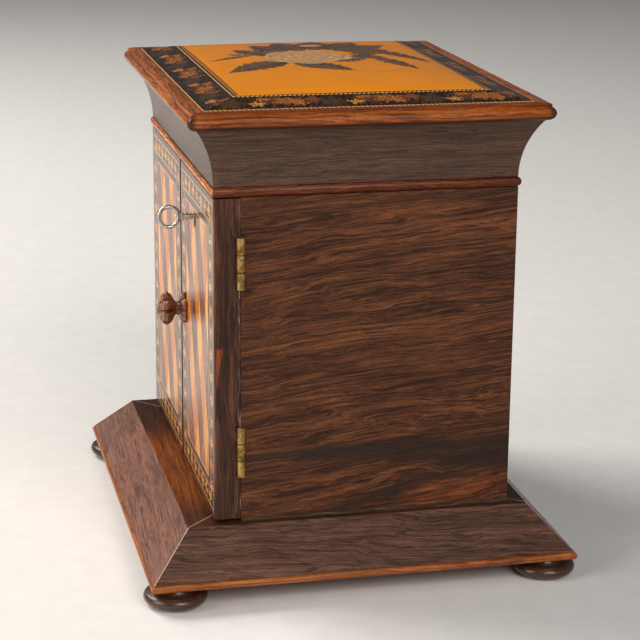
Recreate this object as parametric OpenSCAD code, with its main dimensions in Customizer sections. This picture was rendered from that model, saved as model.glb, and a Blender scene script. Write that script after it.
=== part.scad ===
// Inlaid rosewood table cabinet: two parquetry doors in front of three drawers, and a
// hinged pillow lid over a shallow well that holds a small pinned-cylinder movement.
// Millimetres. The origin is on the ground under the middle of the cabinet, +Z is up
// and the doors face -Y. "Left" and "right" are seen from the front.

/* [Carcass] */
// Width over the two sides
cab_w = 242; // [200:1:300]
// Depth from the front edges of the sides to the back
cab_d = 170; // [150:1:220]
// Height of the sides, which is also the height of the door opening
cab_h = 200; // [165:1:250]
// Thickness of the sides and of the cornice at its foot
wall = 10; // [8:0.5:12]
// Thickness of the carcass floor
floor_t = 10; // [6:0.5:12]
// Thickness of the back panel
back_t = 8; // [5:0.5:10]
// Thickness of the rail behind the top of the doors
rail_t = 10; // [8:0.5:12]
// Height of the pale fillet under the carcass, and so of the gap under the doors
fillet_h = 1.8; // [1.2:0.1:3]
// How far the fillet stands out from the sides
fillet_out = 0.6; // [0.2:0.1:1.5]

/* [Plinth and feet] */
// Diameter of a bun foot
foot_d = 39; // [30:1:46]
// Height of a bun foot
foot_h = 13; // [9:0.5:18]
// Distance of a foot's centre inside the plinth's outline
foot_inset = 15; // [12:0.5:20]
// Height of the half-round edging under the plinth
edging_h = 5; // [4:0.5:8]
// How far the edging's nose stands out
edging_out = 1.5; // [0.5:0.1:2.5]
// Height of the sloping plinth
plinth_h = 26; // [18:1:36]
// How far the slope runs outwards, measured in plan
slope_run = 25; // [15:1:30]
// Width of the plinth's frame, from its outline inwards
plinth_w = 44; // [40:1:55]
// Thickness of the board inside the plinth's frame
base_t = 10; // [6:0.5:14]
// Ledge in front of the doors
ledge_front = 17; // [12:0.5:24]
// Ledge beside the carcass
ledge_side = 4.5; // [3:0.5:10]
// Ledge behind the carcass
ledge_back = 11; // [6:0.5:16]

/* [Bead and cornice] */
// Height of the bead over the doors
bead_h = 6.6; // [5:0.2:9]
// How far the bead's nose stands out
bead_out = 1.6; // [0.8:0.1:2.4]
// Height of the hollow cornice
cove_h = 35.6; // [28:0.2:46]
// How far the cornice flares outwards
cove_flare = 11.7; // [8:0.1:16]

/* [Lid] */
// Overhang of the lid past the top of the cornice
lid_over = 5.5; // [3:0.5:8]
// Thickness of the lid at its edge
lid_edge_h = 10.4; // [9:0.2:13]
// Width of the moulded edge round the lid
lid_edge_w = 10; // [8:0.5:14]
// Radius of the moulded edge's nose
lid_nose_r = 4.2; // [3:0.2:4.4]
// Setback of the flat strip on top of the moulded edge
lid_quirk = 2.2; // [1:0.2:3]
// Width of the mosaic band
band_w = 23; // [15:1:30]
// Rise of the mosaic band towards the middle
band_rise = 4.5; // [2:0.5:7]
// Rise of the centre panel above the band
crown_rise = 4.8; // [2:0.2:6]
// Thickness of the veneered layer at the outer edge of the band
veneer_t = 1.2; // [0.8:0.1:2]
// Gap between the closed lid and the cornice
lid_gap = 0.2; // [0.1:0.1:0.5]

/* [Doors] */
// Thickness of a door with its parquetry
door_t = 16; // [13:0.5:19]
// Thickness of the parquetry face
face_t = 1.2; // [0.8:0.1:2]
// Gap between a closed door and the carcass
door_gap = 0.3; // [0.2:0.1:0.6]
// Gap between the two doors and over their top edges
door_margin = 0.5; // [0.3:0.1:1]

/* [Hinges] */
// Height of a door hinge
hinge_h = 31.5; // [24:0.5:36]
// Height of the lower door hinges over the plinth
hinge_rise = 27.6; // [15:0.2:40]
// Depth of the upper door hinges below the bead
hinge_drop = 23.6; // [15:0.2:40]
// Diameter of a door hinge's barrel
barrel_d = 5.6; // [4.5:0.1:6.5]
// Diameter of a hinge pin
pin_d = 2.4; // [1.8:0.1:2.8]
// How far the axis of a door hinge stands outside the side
hinge_out = 1; // [0.5:0.1:2]
// Width of a hinge leaf beyond the barrel
leaf_w = 7; // [5:0.5:8]
// Thickness of a hinge leaf
leaf_t = 1; // [0.8:0.1:1.4]
// Width of a lid hinge
lid_hinge_w = 30; // [20:1:40]
// Distance of each lid hinge from the middle of the lid
lid_hinge_x = 65; // [35:1:80]
// Diameter of a lid hinge's barrel
lid_barrel_d = 4.4; // [3.6:0.1:5]
// Diameter of a lid hinge's pin
lid_pin_d = 1.8; // [1.4:0.1:2]

/* [Knob, key and lock] */
// Distance of the knob from the middle of the cabinet
knob_x = 15.6; // [12:0.2:20]
// Height of the knob above the bottom of the door
knob_z = 105.8; // [80:1:130]
// Diameter over the knob's lobes
knob_d = 22; // [18:0.5:24]
// How far the knob stands out from the door
knob_l = 19; // [14:0.5:24]
// Diameter of the spigot that holds the knob
spigot_d = 6; // [4:0.5:8]
// Length of the spigot inside the door
spigot_l = 11; // [6:0.5:12]
// Distance of the keyhole from the middle of the cabinet
key_x = 54.8; // [44:0.2:70]
// Distance of the keyhole below the top of the door
key_drop = 24.5; // [20:0.5:34]
// Diameter of the key's shank
shank_d = 3.2; // [2.6:0.1:3.6]
// Outer diameter of the key's ring
bow_d = 15; // [11:0.5:18]
// Thickness of the key's ring
bow_wire = 2.4; // [1.6:0.1:2.8]
// Distance of the ring's centre in front of the door
bow_l = 16; // [14:0.5:20]
// Reach of the key's bit below the shank
bit_l = 4.4; // [3:0.2:5]
// Width of the lock case
case_w = 36; // [28:1:44]
// Depth of the lock case
case_t = 9.6; // [9.2:0.1:11]
// Thickness of the lock case's plates
case_wall = 1.2; // [0.8:0.1:1.6]
// Distance of the lock case's lower edge below the keyhole
case_low = 14; // [10:0.5:20]
// Width of the lock bolt
bolt_w = 12; // [8:0.5:18]
// Thickness of the lock bolt
bolt_t = 3; // [2:0.1:3.2]
// Length of the lock bolt
bolt_l = 22; // [18:0.5:24]
// How far the bolt is thrown
bolt_throw = 4; // [2.5:0.5:5]
// Width of the brass lining round the keyhole
escutcheon_w = 0.9; // [0.6:0.1:1.5]
// How far the lining stands out from the door
escutcheon_out = 0.3; // [0.1:0.1:0.6]

/* [Drawers] */
// Thickness of the two dividers between the drawers
divider_t = 6; // [4:0.5:8]
// How far the drawer fronts stand behind the closed doors
drawer_setback = 10.5; // [10:0.5:14]
// Depth of a drawer from front to back
drawer_d = 140; // [100:1:142]
// Thickness of a drawer's front
drawer_front_t = 8; // [6:0.5:10]
// Thickness of a drawer's sides and back
drawer_side_t = 5; // [3:0.5:7]
// Thickness of a drawer's bottom
drawer_bottom_t = 3; // [2:0.5:4]
// Running clearance round a drawer
drawer_gap = 0.4; // [0.3:0.1:0.8]
// Diameter of a drawer's knob
pull_d = 10; // [8:0.5:14]
// How far a drawer's knob stands out
pull_l = 8; // [6:0.5:8.5]
// Diameter of the hole for the knob's pin
pull_pin = 3; // [2:0.5:4]

/* [Well] */
// Depth of the well's floor below the bead
well_drop = 12.8; // [8:0.2:20]
// Thickness of the well's floor
well_t = 5; // [4:0.5:8]
// Room kept for the movement behind the partition
movement_room = 88; // [84:1:90]
// Thickness of the partition
partition_t = 4; // [3:0.5:6]
// Distance from the top of the partition to the lid
partition_drop = 12; // [6:1:20]

/* [Movement] */
// Length of the bedplate
bed_l = 150; // [148:1:170]
// Width of the bedplate
bed_w = 60; // [58:1:70]
// Thickness of the bedplate
bed_t = 3; // [2:0.5:4]
// Height of the pillars under the bedplate
pillar_h = 5; // [3:0.5:8]
// Height of the cylinder's axis above the bedplate
axis_h = 18; // [17:0.5:20]
// Diameter of the pinned cylinder
cylinder_d = 20; // [18:0.5:21]
// Length of the pinned cylinder
cylinder_l = 66; // [50:1:68]
// Wall of the pinned cylinder
cylinder_wall = 1.2; // [0.8:0.1:2]
// Diameter of the cylinder's arbor
arbor_d = 3; // [2.4:0.1:4]
// Gap between the comb's tips and the cylinder
comb_reach = 0.9; // [0.5:0.1:1.5]
// Number of teeth on the comb
comb_teeth = 42; // [30:1:48]
// Length of the comb's teeth
tooth_l = 12; // [9:0.5:14]
// Thickness of the comb
comb_t = 1.4; // [1:0.1:2]
// Diameter of the spring barrel
spring_barrel_d = 26; // [22:0.5:27]
// Length of the spring barrel
spring_barrel_l = 18; // [12:0.5:18]
// Module of the teeth between barrel and cylinder
drive_module = 0.8; // [0.7:0.05:0.85]
// Teeth on the barrel's wheel
barrel_teeth = 36; // [30:2:38]
// Teeth on the cylinder's pinion
pinion_teeth = 12; // [12:2:16]
// Module of the governor's teeth
governor_module = 0.5; // [0.45:0.05:0.6]
// Teeth on the cylinder's large wheel
great_teeth = 48; // [40:4:52]
// Teeth on the governor's pinion
governor_teeth = 12; // [12:2:14]
// Teeth on the wheel that turns the endless screw
worm_teeth = 20; // [16:2:22]
// Diameter of the endless screw
screw_d = 4; // [3:0.2:5]
// Diameter of the governor's arbors
fine_arbor_d = 1.8; // [1.4:0.1:2.2]
// Width across the fly's blades
fly_w = 13; // [9:0.5:13.5]

/* [Hidden] */

$fn = 64;
// Clearances: a glue line that keeps joined boards apart, a loose fit and a running fit
glue = 0.05;
loose = 0.3;
running = 0.05;
// Overshoot of a cut past the face it starts from
cut = 1;

// Colours of the materials
rosewood = [0.33, 0.15, 0.09];
dark_rosewood = [0.2, 0.12, 0.09];
red_rosewood = [0.45, 0.2, 0.12];
satinwood = [0.84, 0.63, 0.32];
mosaic = [0.2, 0.12, 0.07];
parquetry = [0.72, 0.52, 0.36];
cedar = [0.55, 0.33, 0.2];
ebony = [0.1, 0.07, 0.05];
brass = [0.8, 0.62, 0.3];
steel = [0.62, 0.62, 0.64];
blued_steel = [0.22, 0.25, 0.34];

// Levels from the ground up
z_edging = foot_h;
z_plinth = z_edging + edging_h;
z_ledge = z_plinth + plinth_h;
z_carcass = z_ledge + fillet_h;
z_bead = z_carcass + cab_h;
z_cove = z_bead + bead_h;
z_lid = z_cove + cove_h;
z_lid_low = z_lid + lid_gap;
z_lid_top = z_lid + lid_edge_h;
z_veneer = z_lid_top - veneer_t;
z_well = z_bead - well_drop;
z_door_top = z_bead - door_margin;

// Plan: the front edges of the sides lie on the joint line, y_joint
half_x = cab_w / 2;
y_joint = (door_gap + door_t + ledge_front - cab_d - ledge_back) / 2;
y_face = y_joint - door_gap - door_t;
y_back = y_joint + cab_d;
y_mid = (y_face + y_back) / 2;
half_y = (y_back - y_face) / 2;
plinth_x = half_x + ledge_side + slope_run;
plinth_y = y_back + ledge_back + slope_run;
lid_x = half_x + cove_flare + lid_over;
lid_y = half_y + cove_flare + lid_over;
inner_x = half_x - wall;

// Hinge axes
hinge_x = half_x + hinge_out;
hinge_y = y_joint - door_gap / 2;
hinge_zs = [z_carcass + hinge_rise, z_bead - hinge_drop - hinge_h];
lid_axis_y = y_mid + lid_y + lid_barrel_d / 2 + loose;
lid_axis_z = z_lid + lid_gap / 2;
lid_leaf_l = lid_over + leaf_w;

// Lock
key_z = z_door_top - key_drop;
case_y = y_joint - door_gap - case_t;
case_z = key_z - case_low;
bolt_y = y_joint - door_gap - case_wall - loose - bolt_t;
bolt_z = z_door_top - bolt_l - loose;
bit_t = 2.4;
bit_w = 2;
keep_end = 3;
keep_side = 0.8;
// Collars on the key's shank: distance from its start, diameter, length
collars = [[0, 4.4, 1.6], [2.6, 5.4, 1.2], [5.2, 4.4, 1.2]];

// Drawers
drawer_w = 2 * inner_x - 2 * drawer_gap;
drawer_space = (z_well - well_t - z_carcass - floor_t - 2 * divider_t) / 3;
drawer_h = drawer_space - 2 * drawer_gap;
drawer_y = y_joint + drawer_setback;
function drawer_z(level) = z_carcass + floor_t + level * (drawer_space + divider_t) + drawer_gap;

// Movement plates and wheels
plate_t = 3;
wheel_t = 2;
foot_t = 2.5;
foot_reach = 4;
foot_short = 2;
plate_half = 6;
plate_over = 6;
// Play between a part that turns and its neighbour
play = 1;
comb_seat = 8;
comb_slot = 0.4;
comb_margin = 12;
great_margin = 8;
axis_offset = 4;

// Places in the movement. The cylinder stands to the right of the middle, for the barrel
bed_z = z_well + pillar_h + bed_t;
bed_y = y_back - wall - movement_room / 2;
cyl_y = bed_y + axis_offset;
cyl_z = bed_z + axis_h;
cyl_x = 5;
left_plate_x = cyl_x - cylinder_l / 2 - comb_margin;
right_plate_x = cyl_x + cylinder_l / 2 + great_margin;
pinion_x = left_plate_x - play - wheel_t;
great_x = right_plate_x - plate_t - wheel_t;
barrel_x = pinion_x - play - spring_barrel_l;
outer_plate_x = barrel_x - play - plate_t;
ratchet_x = outer_plate_x - play - wheel_t;
lever_x = ratchet_x - play - wheel_t;
barrel_y = cyl_y - drive_module * (barrel_teeth + pinion_teeth) / 2;
governor_y = cyl_y + governor_module * (great_teeth + governor_teeth) / 2;

// Governor. A tooth stands 0.85 of the module beyond its wheel's pitch circle
tooth_over = 0.85;
worm_side = 6;
worm_x = right_plate_x + plate_t + worm_side;
worm_y = governor_y - governor_module * (worm_teeth / 2 + tooth_over) - screw_d / 2 - loose;
worm_l = 10;
fly_room = 1.5;
fly_h = 7;
fly_t = 1;
fly_drop = 9;
cock_x = worm_x + fly_w / 2 + fly_room;
cock_t = 4;
cock_arm_t = 2.5;
cock_foot_t = 3;
cock_half = 6;
cock_rise = 18;
cock_z = cyl_z + cock_rise;
bore_rise = 1;
screw_rise = 1.5;

// Start lever and winding lever
lever_pivot = [worm_x + 4, bed_y - 10];
lever_hub_d = 8;
lever_w = 4;
lever_front = 18;
lever_l = 28;
lever_rise = 0.5;
pivot_l = 4;
crank_l = 22;
grip_d = 5;
grip_l = 5;
grip_inset = 1;
ratchet_d = 11;

// Spring
barrel_wall = 1.5;
spring_room = 2;
spring_w = 5;

// Comb and screws. Heads are 1.9 diameters wide and 0.6 high, with a slot
comb_tip_y = cyl_y - cylinder_d / 2 - comb_reach;
comb_d = tooth_l + comb_seat;
comb_l = cylinder_l;
comb_y = comb_tip_y - comb_d;
comb_screw_xs = [for (i = [-1:1]) cyl_x + i * comb_l * 0.4];
comb_screw_y = comb_y + comb_seat / 2;
comb_screw_hold = 8;
comb_screw_room = 10;
bed_screw_inset = 5;
bed_screws = [for (i = [-1, 1], j = [-1, 1])
    [i * (bed_l / 2 - bed_screw_inset), bed_y + j * (bed_w / 2 - bed_screw_inset)]];
pillar_r = 4;
bed_screw_d = 3;
comb_screw_d = 2.4;
head_w = 1.9;
head_h = 0.6;
slot_w = 0.6;
slot_low = 0.35;
cap_t = 2;

// ---------------------------------------------------------------- helpers

// Radius of the circle whose arc rises by "rise" over a half chord of "half"
function arc_radius(half, rise) = (half * half + rise * rise) / (2 * rise);

// A board given by its lowest and its highest corner
module board(low, high) {
    translate(low) cube(high - low);
}

// A board across the carcass, between its two sides
module cross_board(y_low, y_high, z_low, z_high) {
    board([-inner_x, y_low, z_low], [inner_x, y_high, z_high]);
}

// One run of moulding along X with mitred ends. Its section is the child: x points
// inwards from the frame's outline and y points up. "reach" is how far it stands out.
module mitred_run(length, depth, reach, height) {
    outer = length / 2 + reach - glue;
    inner = length / 2 - depth - glue;
    intersection() {
        rotate([90, 0, 90]) linear_extrude(length + 2 * reach, center = true) children();
        linear_extrude(height)
            polygon([[-outer, -reach], [outer, -reach], [inner, depth], [-inner, depth]]);
    }
}

// Four mitred runs round a rectangle, front, right, back and left
module mitred_frame(frame_x, frame_y, depth, reach, height) {
    for (side = [0:3])
        rotate(90 * side)
            translate([0, side % 2 == 0 ? -frame_y : -frame_x, 0])
                mitred_run(side % 2 == 0 ? 2 * frame_x : 2 * frame_y, depth, reach, height)
                    children();
}

// Square-backed section with a half-round nose that stands out by "out"
module nosed_section(height, depth, out) {
    r = height / 2;
    translate([r - out, r]) circle(r);
    translate([r - out, 0]) square([depth - r + out, height]);
}

// Puts a right-hand hinge at every door hinge place of one side (1 right, -1 left)
module at_door_hinges(side) {
    for (z = hinge_zs)
        translate([side * hinge_x, hinge_y, z]) mirror([side < 0 ? 1 : 0, 0, 0]) children();
}

// Puts a hinge at both lid hinge places, its axis along X
module at_lid_hinges() {
    for (side = [-1, 1])
        translate([side * lid_hinge_x - lid_hinge_w / 2, lid_axis_y, lid_axis_z])
            rotate([0, 90, 0]) children();
}

// Half of a butt hinge about the Z axis: its leaf lies towards -X, on the +Y side of the
// joint. The fixed half has the two outer knuckles and the moving half the middle one.
module hinge_half(height, barrel, pin, leaf, gap, outer) {
    knuckle = height / 3;
    starts = outer ? [0, 2 * knuckle] : [knuckle + loose / 2];
    tall = outer ? knuckle : knuckle - loose;
    difference() {
        union() {
            translate([-barrel / 2 - loose - leaf, gap / 2, 0]) cube([leaf, leaf_t, height]);
            for (z = starts) {
                translate([0, 0, z]) cylinder(h = tall, d = barrel);
                translate([-barrel / 2 - loose - cut, gap / 2, z])
                    cube([barrel / 2 + loose + cut, leaf_t, tall]);
            }
        }
        translate([0, 0, -cut]) cylinder(h = height + 2 * cut, d = pin + 2 * running);
    }
}

// The room that a hinge needs in a board: the barrel's and one leaf's
module hinge_room(height, barrel, leaf, gap) {
    cylinder(h = height, d = barrel + 2 * loose);
    translate([-barrel / 2 - loose - leaf, 0, 0])
        cube([leaf + barrel / 2 + loose, gap / 2 + leaf_t, height]);
}

module door_hinge_room() hinge_room(hinge_h, barrel_d, leaf_w, door_gap);
module lid_hinge_room() hinge_room(lid_hinge_w, lid_barrel_d, lid_leaf_l, lid_gap);

// Keyhole outline: a round hole with a slot below it, grown by "more" all round
module keyhole_outline(more) {
    circle(d = shank_d + 2 * (loose + more));
    slot = bit_w / 2 + loose + more;
    depth = shank_d / 2 + bit_l + loose + more;
    translate([-slot, -depth]) square([2 * slot, depth]);
}

// The keyhole as a cut along Y, starting at y and running for "length"
module keyhole(y, length, more) {
    translate([key_x, y + length, key_z]) rotate([90, 0, 0]) linear_extrude(length)
        keyhole_outline(more);
}

// A rod along Y whose end nearest the viewer is at y
module rod_y(x, y, z, length, d) {
    translate([x, y + length, z]) rotate([90, 0, 0]) cylinder(h = length, d = d);
}

// A rod along X
module rod_x(x, y, z, length, d) {
    translate([x, y, z]) rotate([0, 90, 0]) cylinder(h = length, d = d);
}

// Outline of a small toothed wheel: each tooth is a trapezoid, thin enough to run free
function wheel_points(teeth, size) = [
    for (i = [0:teeth - 1], k = [[-0.27, -1.2], [-0.1, 0.85], [0.1, 0.85], [0.27, -1.2]])
        let (a = 360 / teeth * (i + k[0]), r = size * (teeth / 2 + k[1]))
            [r * cos(a), r * sin(a)]
];

// A toothed wheel on an axis along X; "turn" is how far it is turned, in teeth
module wheel(x, y, z, teeth, size, hole, turn = 0) {
    translate([x, y, z]) rotate([90, 0, 90]) linear_extrude(wheel_t) difference() {
        rotate(turn * 360 / teeth) polygon(wheel_points(teeth, size));
        circle(d = (hole + 2 * running) / cos(180 / 12), $fn = 12);
    }
}

// ---------------------------------------------------------------- plinth and feet

module feet() {
    r = foot_h / 2;
    color(ebony)
        for (i = [-1, 1], j = [-1, 1])
            translate([i * (plinth_x - foot_inset), j * (plinth_y - foot_inset), 0])
                rotate_extrude() {
                    intersection() {
                        translate([foot_d / 2 - r, r]) circle(r);
                        square([foot_d / 2, foot_h]);
                    }
                    square([foot_d / 2 - r, foot_h]);
                }
}

module plinth_edging() {
    color(red_rosewood) translate([0, 0, z_edging])
        mitred_frame(plinth_x, plinth_y, plinth_w, edging_out, edging_h)
            nosed_section(edging_h, plinth_w, edging_out);
}

module plinth_boards() {
    color(rosewood) translate([0, 0, z_plinth])
        mitred_frame(plinth_x, plinth_y, plinth_w, 0, plinth_h)
            polygon([[0, 0], [slope_run, plinth_h], [plinth_w, plinth_h], [plinth_w, 0]]);
}

module base_board() {
    x = plinth_x - plinth_w - glue;
    y = plinth_y - plinth_w - glue;
    color(cedar) board([-x, -y, z_ledge - base_t], [x, y, z_ledge]);
}

module base_fillet() {
    x = half_x + fillet_out;
    color(satinwood) board([-x, y_joint, z_ledge], [x, y_back + fillet_out, z_carcass]);
}

// ---------------------------------------------------------------- carcass

module carcass_floor() {
    color(cedar) cross_board(y_joint, y_back - back_t, z_carcass, z_carcass + floor_t);
}

module side_board(side) {
    difference() {
        board([min(side * inner_x, side * half_x), y_joint, z_carcass],
              [max(side * inner_x, side * half_x), y_back, z_bead]);
        at_door_hinges(side) door_hinge_room();
    }
}

module side_left() color(rosewood) side_board(-1);
module side_right() color(rosewood) side_board(1);

module back_panel() {
    color(rosewood) cross_board(y_back - back_t, y_back, z_carcass, z_bead);
}

module front_rail() {
    color(rosewood) cross_board(y_joint, y_joint + rail_t, z_well - well_t, z_lid);
}

// The board over the doors, with the mortise for the lock bolt
module door_head() {
    color(cedar) difference() {
        cross_board(y_face + wall, y_joint, z_bead, z_lid);
        bolt_room(z_bead - cut, cut + bolt_throw + 2 * loose);
        keep_plate(cut);
    }
}

// The space swept by the lock bolt between two heights
module bolt_room(z, height) {
    translate([key_x - bolt_w / 2 - loose, bolt_y - loose, z])
        cube([bolt_w + 2 * loose, bolt_t + 2 * loose, height]);
}

module keep_plate(below) {
    board([key_x - bolt_w / 2 - keep_end, bolt_y - keep_side, z_bead - below],
          [key_x + bolt_w / 2 + keep_end, bolt_y + bolt_t + keep_side, z_bead + case_wall]);
}

module lock_keep() {
    color(brass) difference() {
        keep_plate(0);
        bolt_room(z_bead - cut, 2 * cut + case_wall);
    }
}

module drawer_dividers() {
    color(cedar) for (level = [1, 2]) {
        z = drawer_z(level) - drawer_gap;
        cross_board(drawer_y, y_back - back_t, z - divider_t, z);
    }
}

module well_floor() {
    color(cedar) difference() {
        cross_board(y_joint + rail_t, y_back - back_t, z_well - well_t, z_well);
        for (p = bed_screws)
            translate([p.x, p.y, z_well - well_t - cut])
                cylinder(h = well_t + 2 * cut, d = bed_screw_d + 2 * running);
    }
}

module well_partition() {
    y = y_back - wall - movement_room;
    color(cedar) cross_board(y - partition_t, y, z_well, z_lid - partition_drop);
}

module bead_moulding() {
    color(red_rosewood) difference() {
        translate([0, y_mid, z_bead])
            mitred_frame(half_x, half_y, wall, bead_out, bead_h)
                nosed_section(bead_h, wall, bead_out);
        bolt_room(z_bead - cut, cut + bolt_throw + 2 * loose);
        keep_plate(cut);
    }
}

// The hollow cornice: the arc stands upright where it leaves the bead
module cornice_mouldings() {
    r = arc_radius(cove_h, cove_flare);
    color(dark_rosewood) difference() {
        translate([0, y_mid, z_cove])
            mitred_frame(half_x, half_y, wall, cove_flare, cove_h)
                difference() {
                    translate([-cove_flare, 0]) square([cove_flare + wall, cove_h]);
                    translate([-r, 0]) circle(r, $fn = 200);
                }
        at_lid_hinges() mirror([1, 0, 0]) rotate(90) lid_hinge_room();
    }
}

// ---------------------------------------------------------------- lid

module lid_edge() {
    height = lid_edge_h - lid_gap;
    color(red_rosewood) difference() {
        translate([0, y_mid, z_lid_low])
            mitred_frame(lid_x, lid_y, lid_edge_w, 0, height) {
                nosed_section(2 * lid_nose_r, lid_edge_w, 0);
                translate([lid_quirk, lid_nose_r])
                    square([lid_edge_w - lid_quirk, height - lid_nose_r]);
            }
        at_lid_hinges() rotate(90) lid_hinge_room();
    }
}

module lid_board() {
    x = lid_x - lid_edge_w - glue;
    y = lid_y - lid_edge_w - glue;
    color(cedar) difference() {
        board([-x, y_mid - y, z_lid_low], [x, y_mid + y, z_veneer]);
        at_lid_hinges() rotate(90) lid_hinge_room();
    }
}

module lid_band() {
    color(mosaic) translate([0, y_mid, z_veneer])
        mitred_frame(lid_x - lid_edge_w, lid_y - lid_edge_w, band_w, 0, veneer_t + band_rise)
            polygon([[0, 0], [band_w, 0], [band_w, veneer_t + band_rise], [0, veneer_t]]);
}

// Pillow-shaped centre panel: the overlap of two shallow barrel vaults
module lid_panel() {
    x = lid_x - lid_edge_w - band_w - glue;
    y = lid_y - lid_edge_w - band_w - glue;
    edge = veneer_t + band_rise;
    rx = arc_radius(x, crown_rise);
    ry = arc_radius(y, crown_rise);
    color(satinwood) translate([0, y_mid, z_veneer]) intersection() {
        board([-x, -y, 0], [x, y, edge + crown_rise]);
        translate([0, 0, edge + crown_rise - rx]) rotate([90, 0, 0])
            cylinder(h = 4 * y, r = rx, center = true, $fn = 360);
        translate([0, 0, edge + crown_rise - ry]) rotate([0, 90, 0])
            cylinder(h = 4 * x, r = ry, center = true, $fn = 360);
    }
}

module lid_hinge_fixed() {
    color(brass) at_lid_hinges() mirror([1, 0, 0]) rotate(90)
        hinge_half(lid_hinge_w, lid_barrel_d, lid_pin_d, lid_leaf_l, lid_gap, true);
}

module lid_hinge_moving() {
    color(brass) at_lid_hinges() rotate(90)
        hinge_half(lid_hinge_w, lid_barrel_d, lid_pin_d, lid_leaf_l, lid_gap, false);
}

module hinge_pins() {
    color(steel) {
        for (side = [-1, 1]) at_door_hinges(side) cylinder(h = hinge_h, d = pin_d);
        at_lid_hinges() cylinder(h = lid_hinge_w, d = lid_pin_d);
    }
}

// ---------------------------------------------------------------- doors

module door_slab(side, y_low, y_high) {
    near = door_margin / 2;
    board([side > 0 ? near : -half_x, y_low, z_carcass],
          [side > 0 ? half_x : -near, y_high, z_door_top]);
}

module door_board(side) {
    difference() {
        door_slab(side, y_face + face_t, y_joint - door_gap);
        at_door_hinges(side) mirror([0, 1, 0]) door_hinge_room();
    }
}

module door_left() color(dark_rosewood) door_board(-1);

module door_right() {
    color(dark_rosewood) difference() {
        door_board(1);
        board([key_x - case_w / 2, case_y, case_z],
              [key_x + case_w / 2, y_joint - door_gap + cut, z_door_top + cut]);
        keyhole(y_face, door_t, 0);
        rod_y(knob_x, y_face, z_carcass + knob_z, spigot_l, spigot_d + 2 * running);
    }
}

module door_left_face() color(parquetry) door_slab(-1, y_face, y_face + face_t);

module door_right_face() {
    color(parquetry) difference() {
        door_slab(1, y_face, y_face + face_t);
        keyhole(y_face - cut, face_t + 2 * cut, escutcheon_w + running);
        rod_y(knob_x, y_face - cut, z_carcass + knob_z, face_t + 2 * cut, spigot_d + 2 * running);
    }
}

module door_hinges_fixed() {
    color(brass) for (side = [-1, 1]) at_door_hinges(side)
        hinge_half(hinge_h, barrel_d, pin_d, leaf_w, door_gap, true);
}

module door_leaves(side) {
    color(brass) at_door_hinges(side) mirror([0, 1, 0])
        hinge_half(hinge_h, barrel_d, pin_d, leaf_w, door_gap, false);
}

module door_left_hinges() door_leaves(-1);
module door_right_hinges() door_leaves(1);

// Lobed knob: a turned core with six round lobes on its head and on its foot
module door_knob() {
    lobe = knob_d * 0.22;
    ring = knob_d / 2 - lobe;
    head = knob_l - lobe - play;
    foot = knob_d * 0.48;
    flange = knob_l * 0.18;
    color(ebony) translate([knob_x, y_face, z_carcass + knob_z]) rotate([90, 0, 0]) {
        translate([0, 0, -spigot_l]) cylinder(h = spigot_l, d = spigot_d);
        cylinder(h = flange, r = foot);
        cylinder(h = head, r = ring * 0.8);
        translate([0, 0, head - lobe / 2]) cylinder(h = lobe * 1.2, r = ring);
        translate([0, 0, knob_l - ring]) sphere(r = ring);
        for (i = [0:5]) rotate(60 * i) translate([ring, 0, head]) sphere(r = lobe);
    }
}

// ---------------------------------------------------------------- key and lock

module escutcheon() {
    color(brass) difference() {
        keyhole(y_face - escutcheon_out, face_t + escutcheon_out, escutcheon_w);
        keyhole(y_face - cut, face_t + 2 * cut, 0);
    }
}

module lock_case() {
    color(brass) difference() {
        board([key_x - case_w / 2 + running, case_y, case_z + running],
              [key_x + case_w / 2 - running, y_joint - door_gap, z_door_top]);
        board([key_x - case_w / 2 + case_wall, case_y + case_wall, case_z + case_wall],
              [key_x + case_w / 2 - case_wall, y_joint - door_gap - case_wall,
               z_door_top - case_wall]);
        keyhole(case_y - cut, case_wall + 2 * cut, 0);
        bolt_room(z_door_top - case_wall - cut, case_wall + 2 * cut);
    }
}

module lock_bolt() {
    color(steel) board([key_x - bolt_w / 2, bolt_y, bolt_z],
                       [key_x + bolt_w / 2, bolt_y + bolt_t, bolt_z + bolt_l]);
}

// The ring stands upright, in the plane of the shank
module key_bow() {
    color(steel) translate([key_x, y_face - bow_l, key_z]) rotate([0, 90, 0])
        rotate_extrude() translate([(bow_d - bow_wire) / 2, 0]) circle(d = bow_wire);
}

module key_shank() {
    start = y_face - bow_l + bow_d / 2 + glue;
    bit_y = case_y + case_wall + loose;
    color(steel) {
        rod_y(key_x, start, key_z, bit_y + bit_t - start, shank_d);
        for (k = collars) rod_y(key_x, start + k[0], key_z, k[2], k[1]);
        board([key_x - bit_w / 2, bit_y, key_z - shank_d / 2 - bit_l],
              [key_x + bit_w / 2, bit_y + bit_t, key_z]);
    }
}

// ---------------------------------------------------------------- drawers

// Five boards: front, bottom, two sides and back, a glue line apart
module drawer(level) {
    z = drawer_z(level);
    x = drawer_w / 2;
    y = drawer_y + drawer_front_t + glue;
    y_end = drawer_y + drawer_d;
    color(cedar) {
        difference() {
            board([-x, drawer_y, z], [x, drawer_y + drawer_front_t, z + drawer_h]);
            rod_y(0, drawer_y - cut, z + drawer_h / 2, drawer_front_t + 2 * cut, pull_pin);
        }
        board([-x, y, z], [x, y_end, z + drawer_bottom_t]);
        for (side = [-1, 1])
            board([side > 0 ? x - drawer_side_t : -x, y, z + drawer_bottom_t + glue],
                  [side > 0 ? x : -x + drawer_side_t, y_end, z + drawer_h]);
        board([-x + drawer_side_t + glue, y_end - drawer_side_t, z + drawer_bottom_t + glue],
              [x - drawer_side_t - glue, y_end, z + drawer_h]);
    }
}

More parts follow.
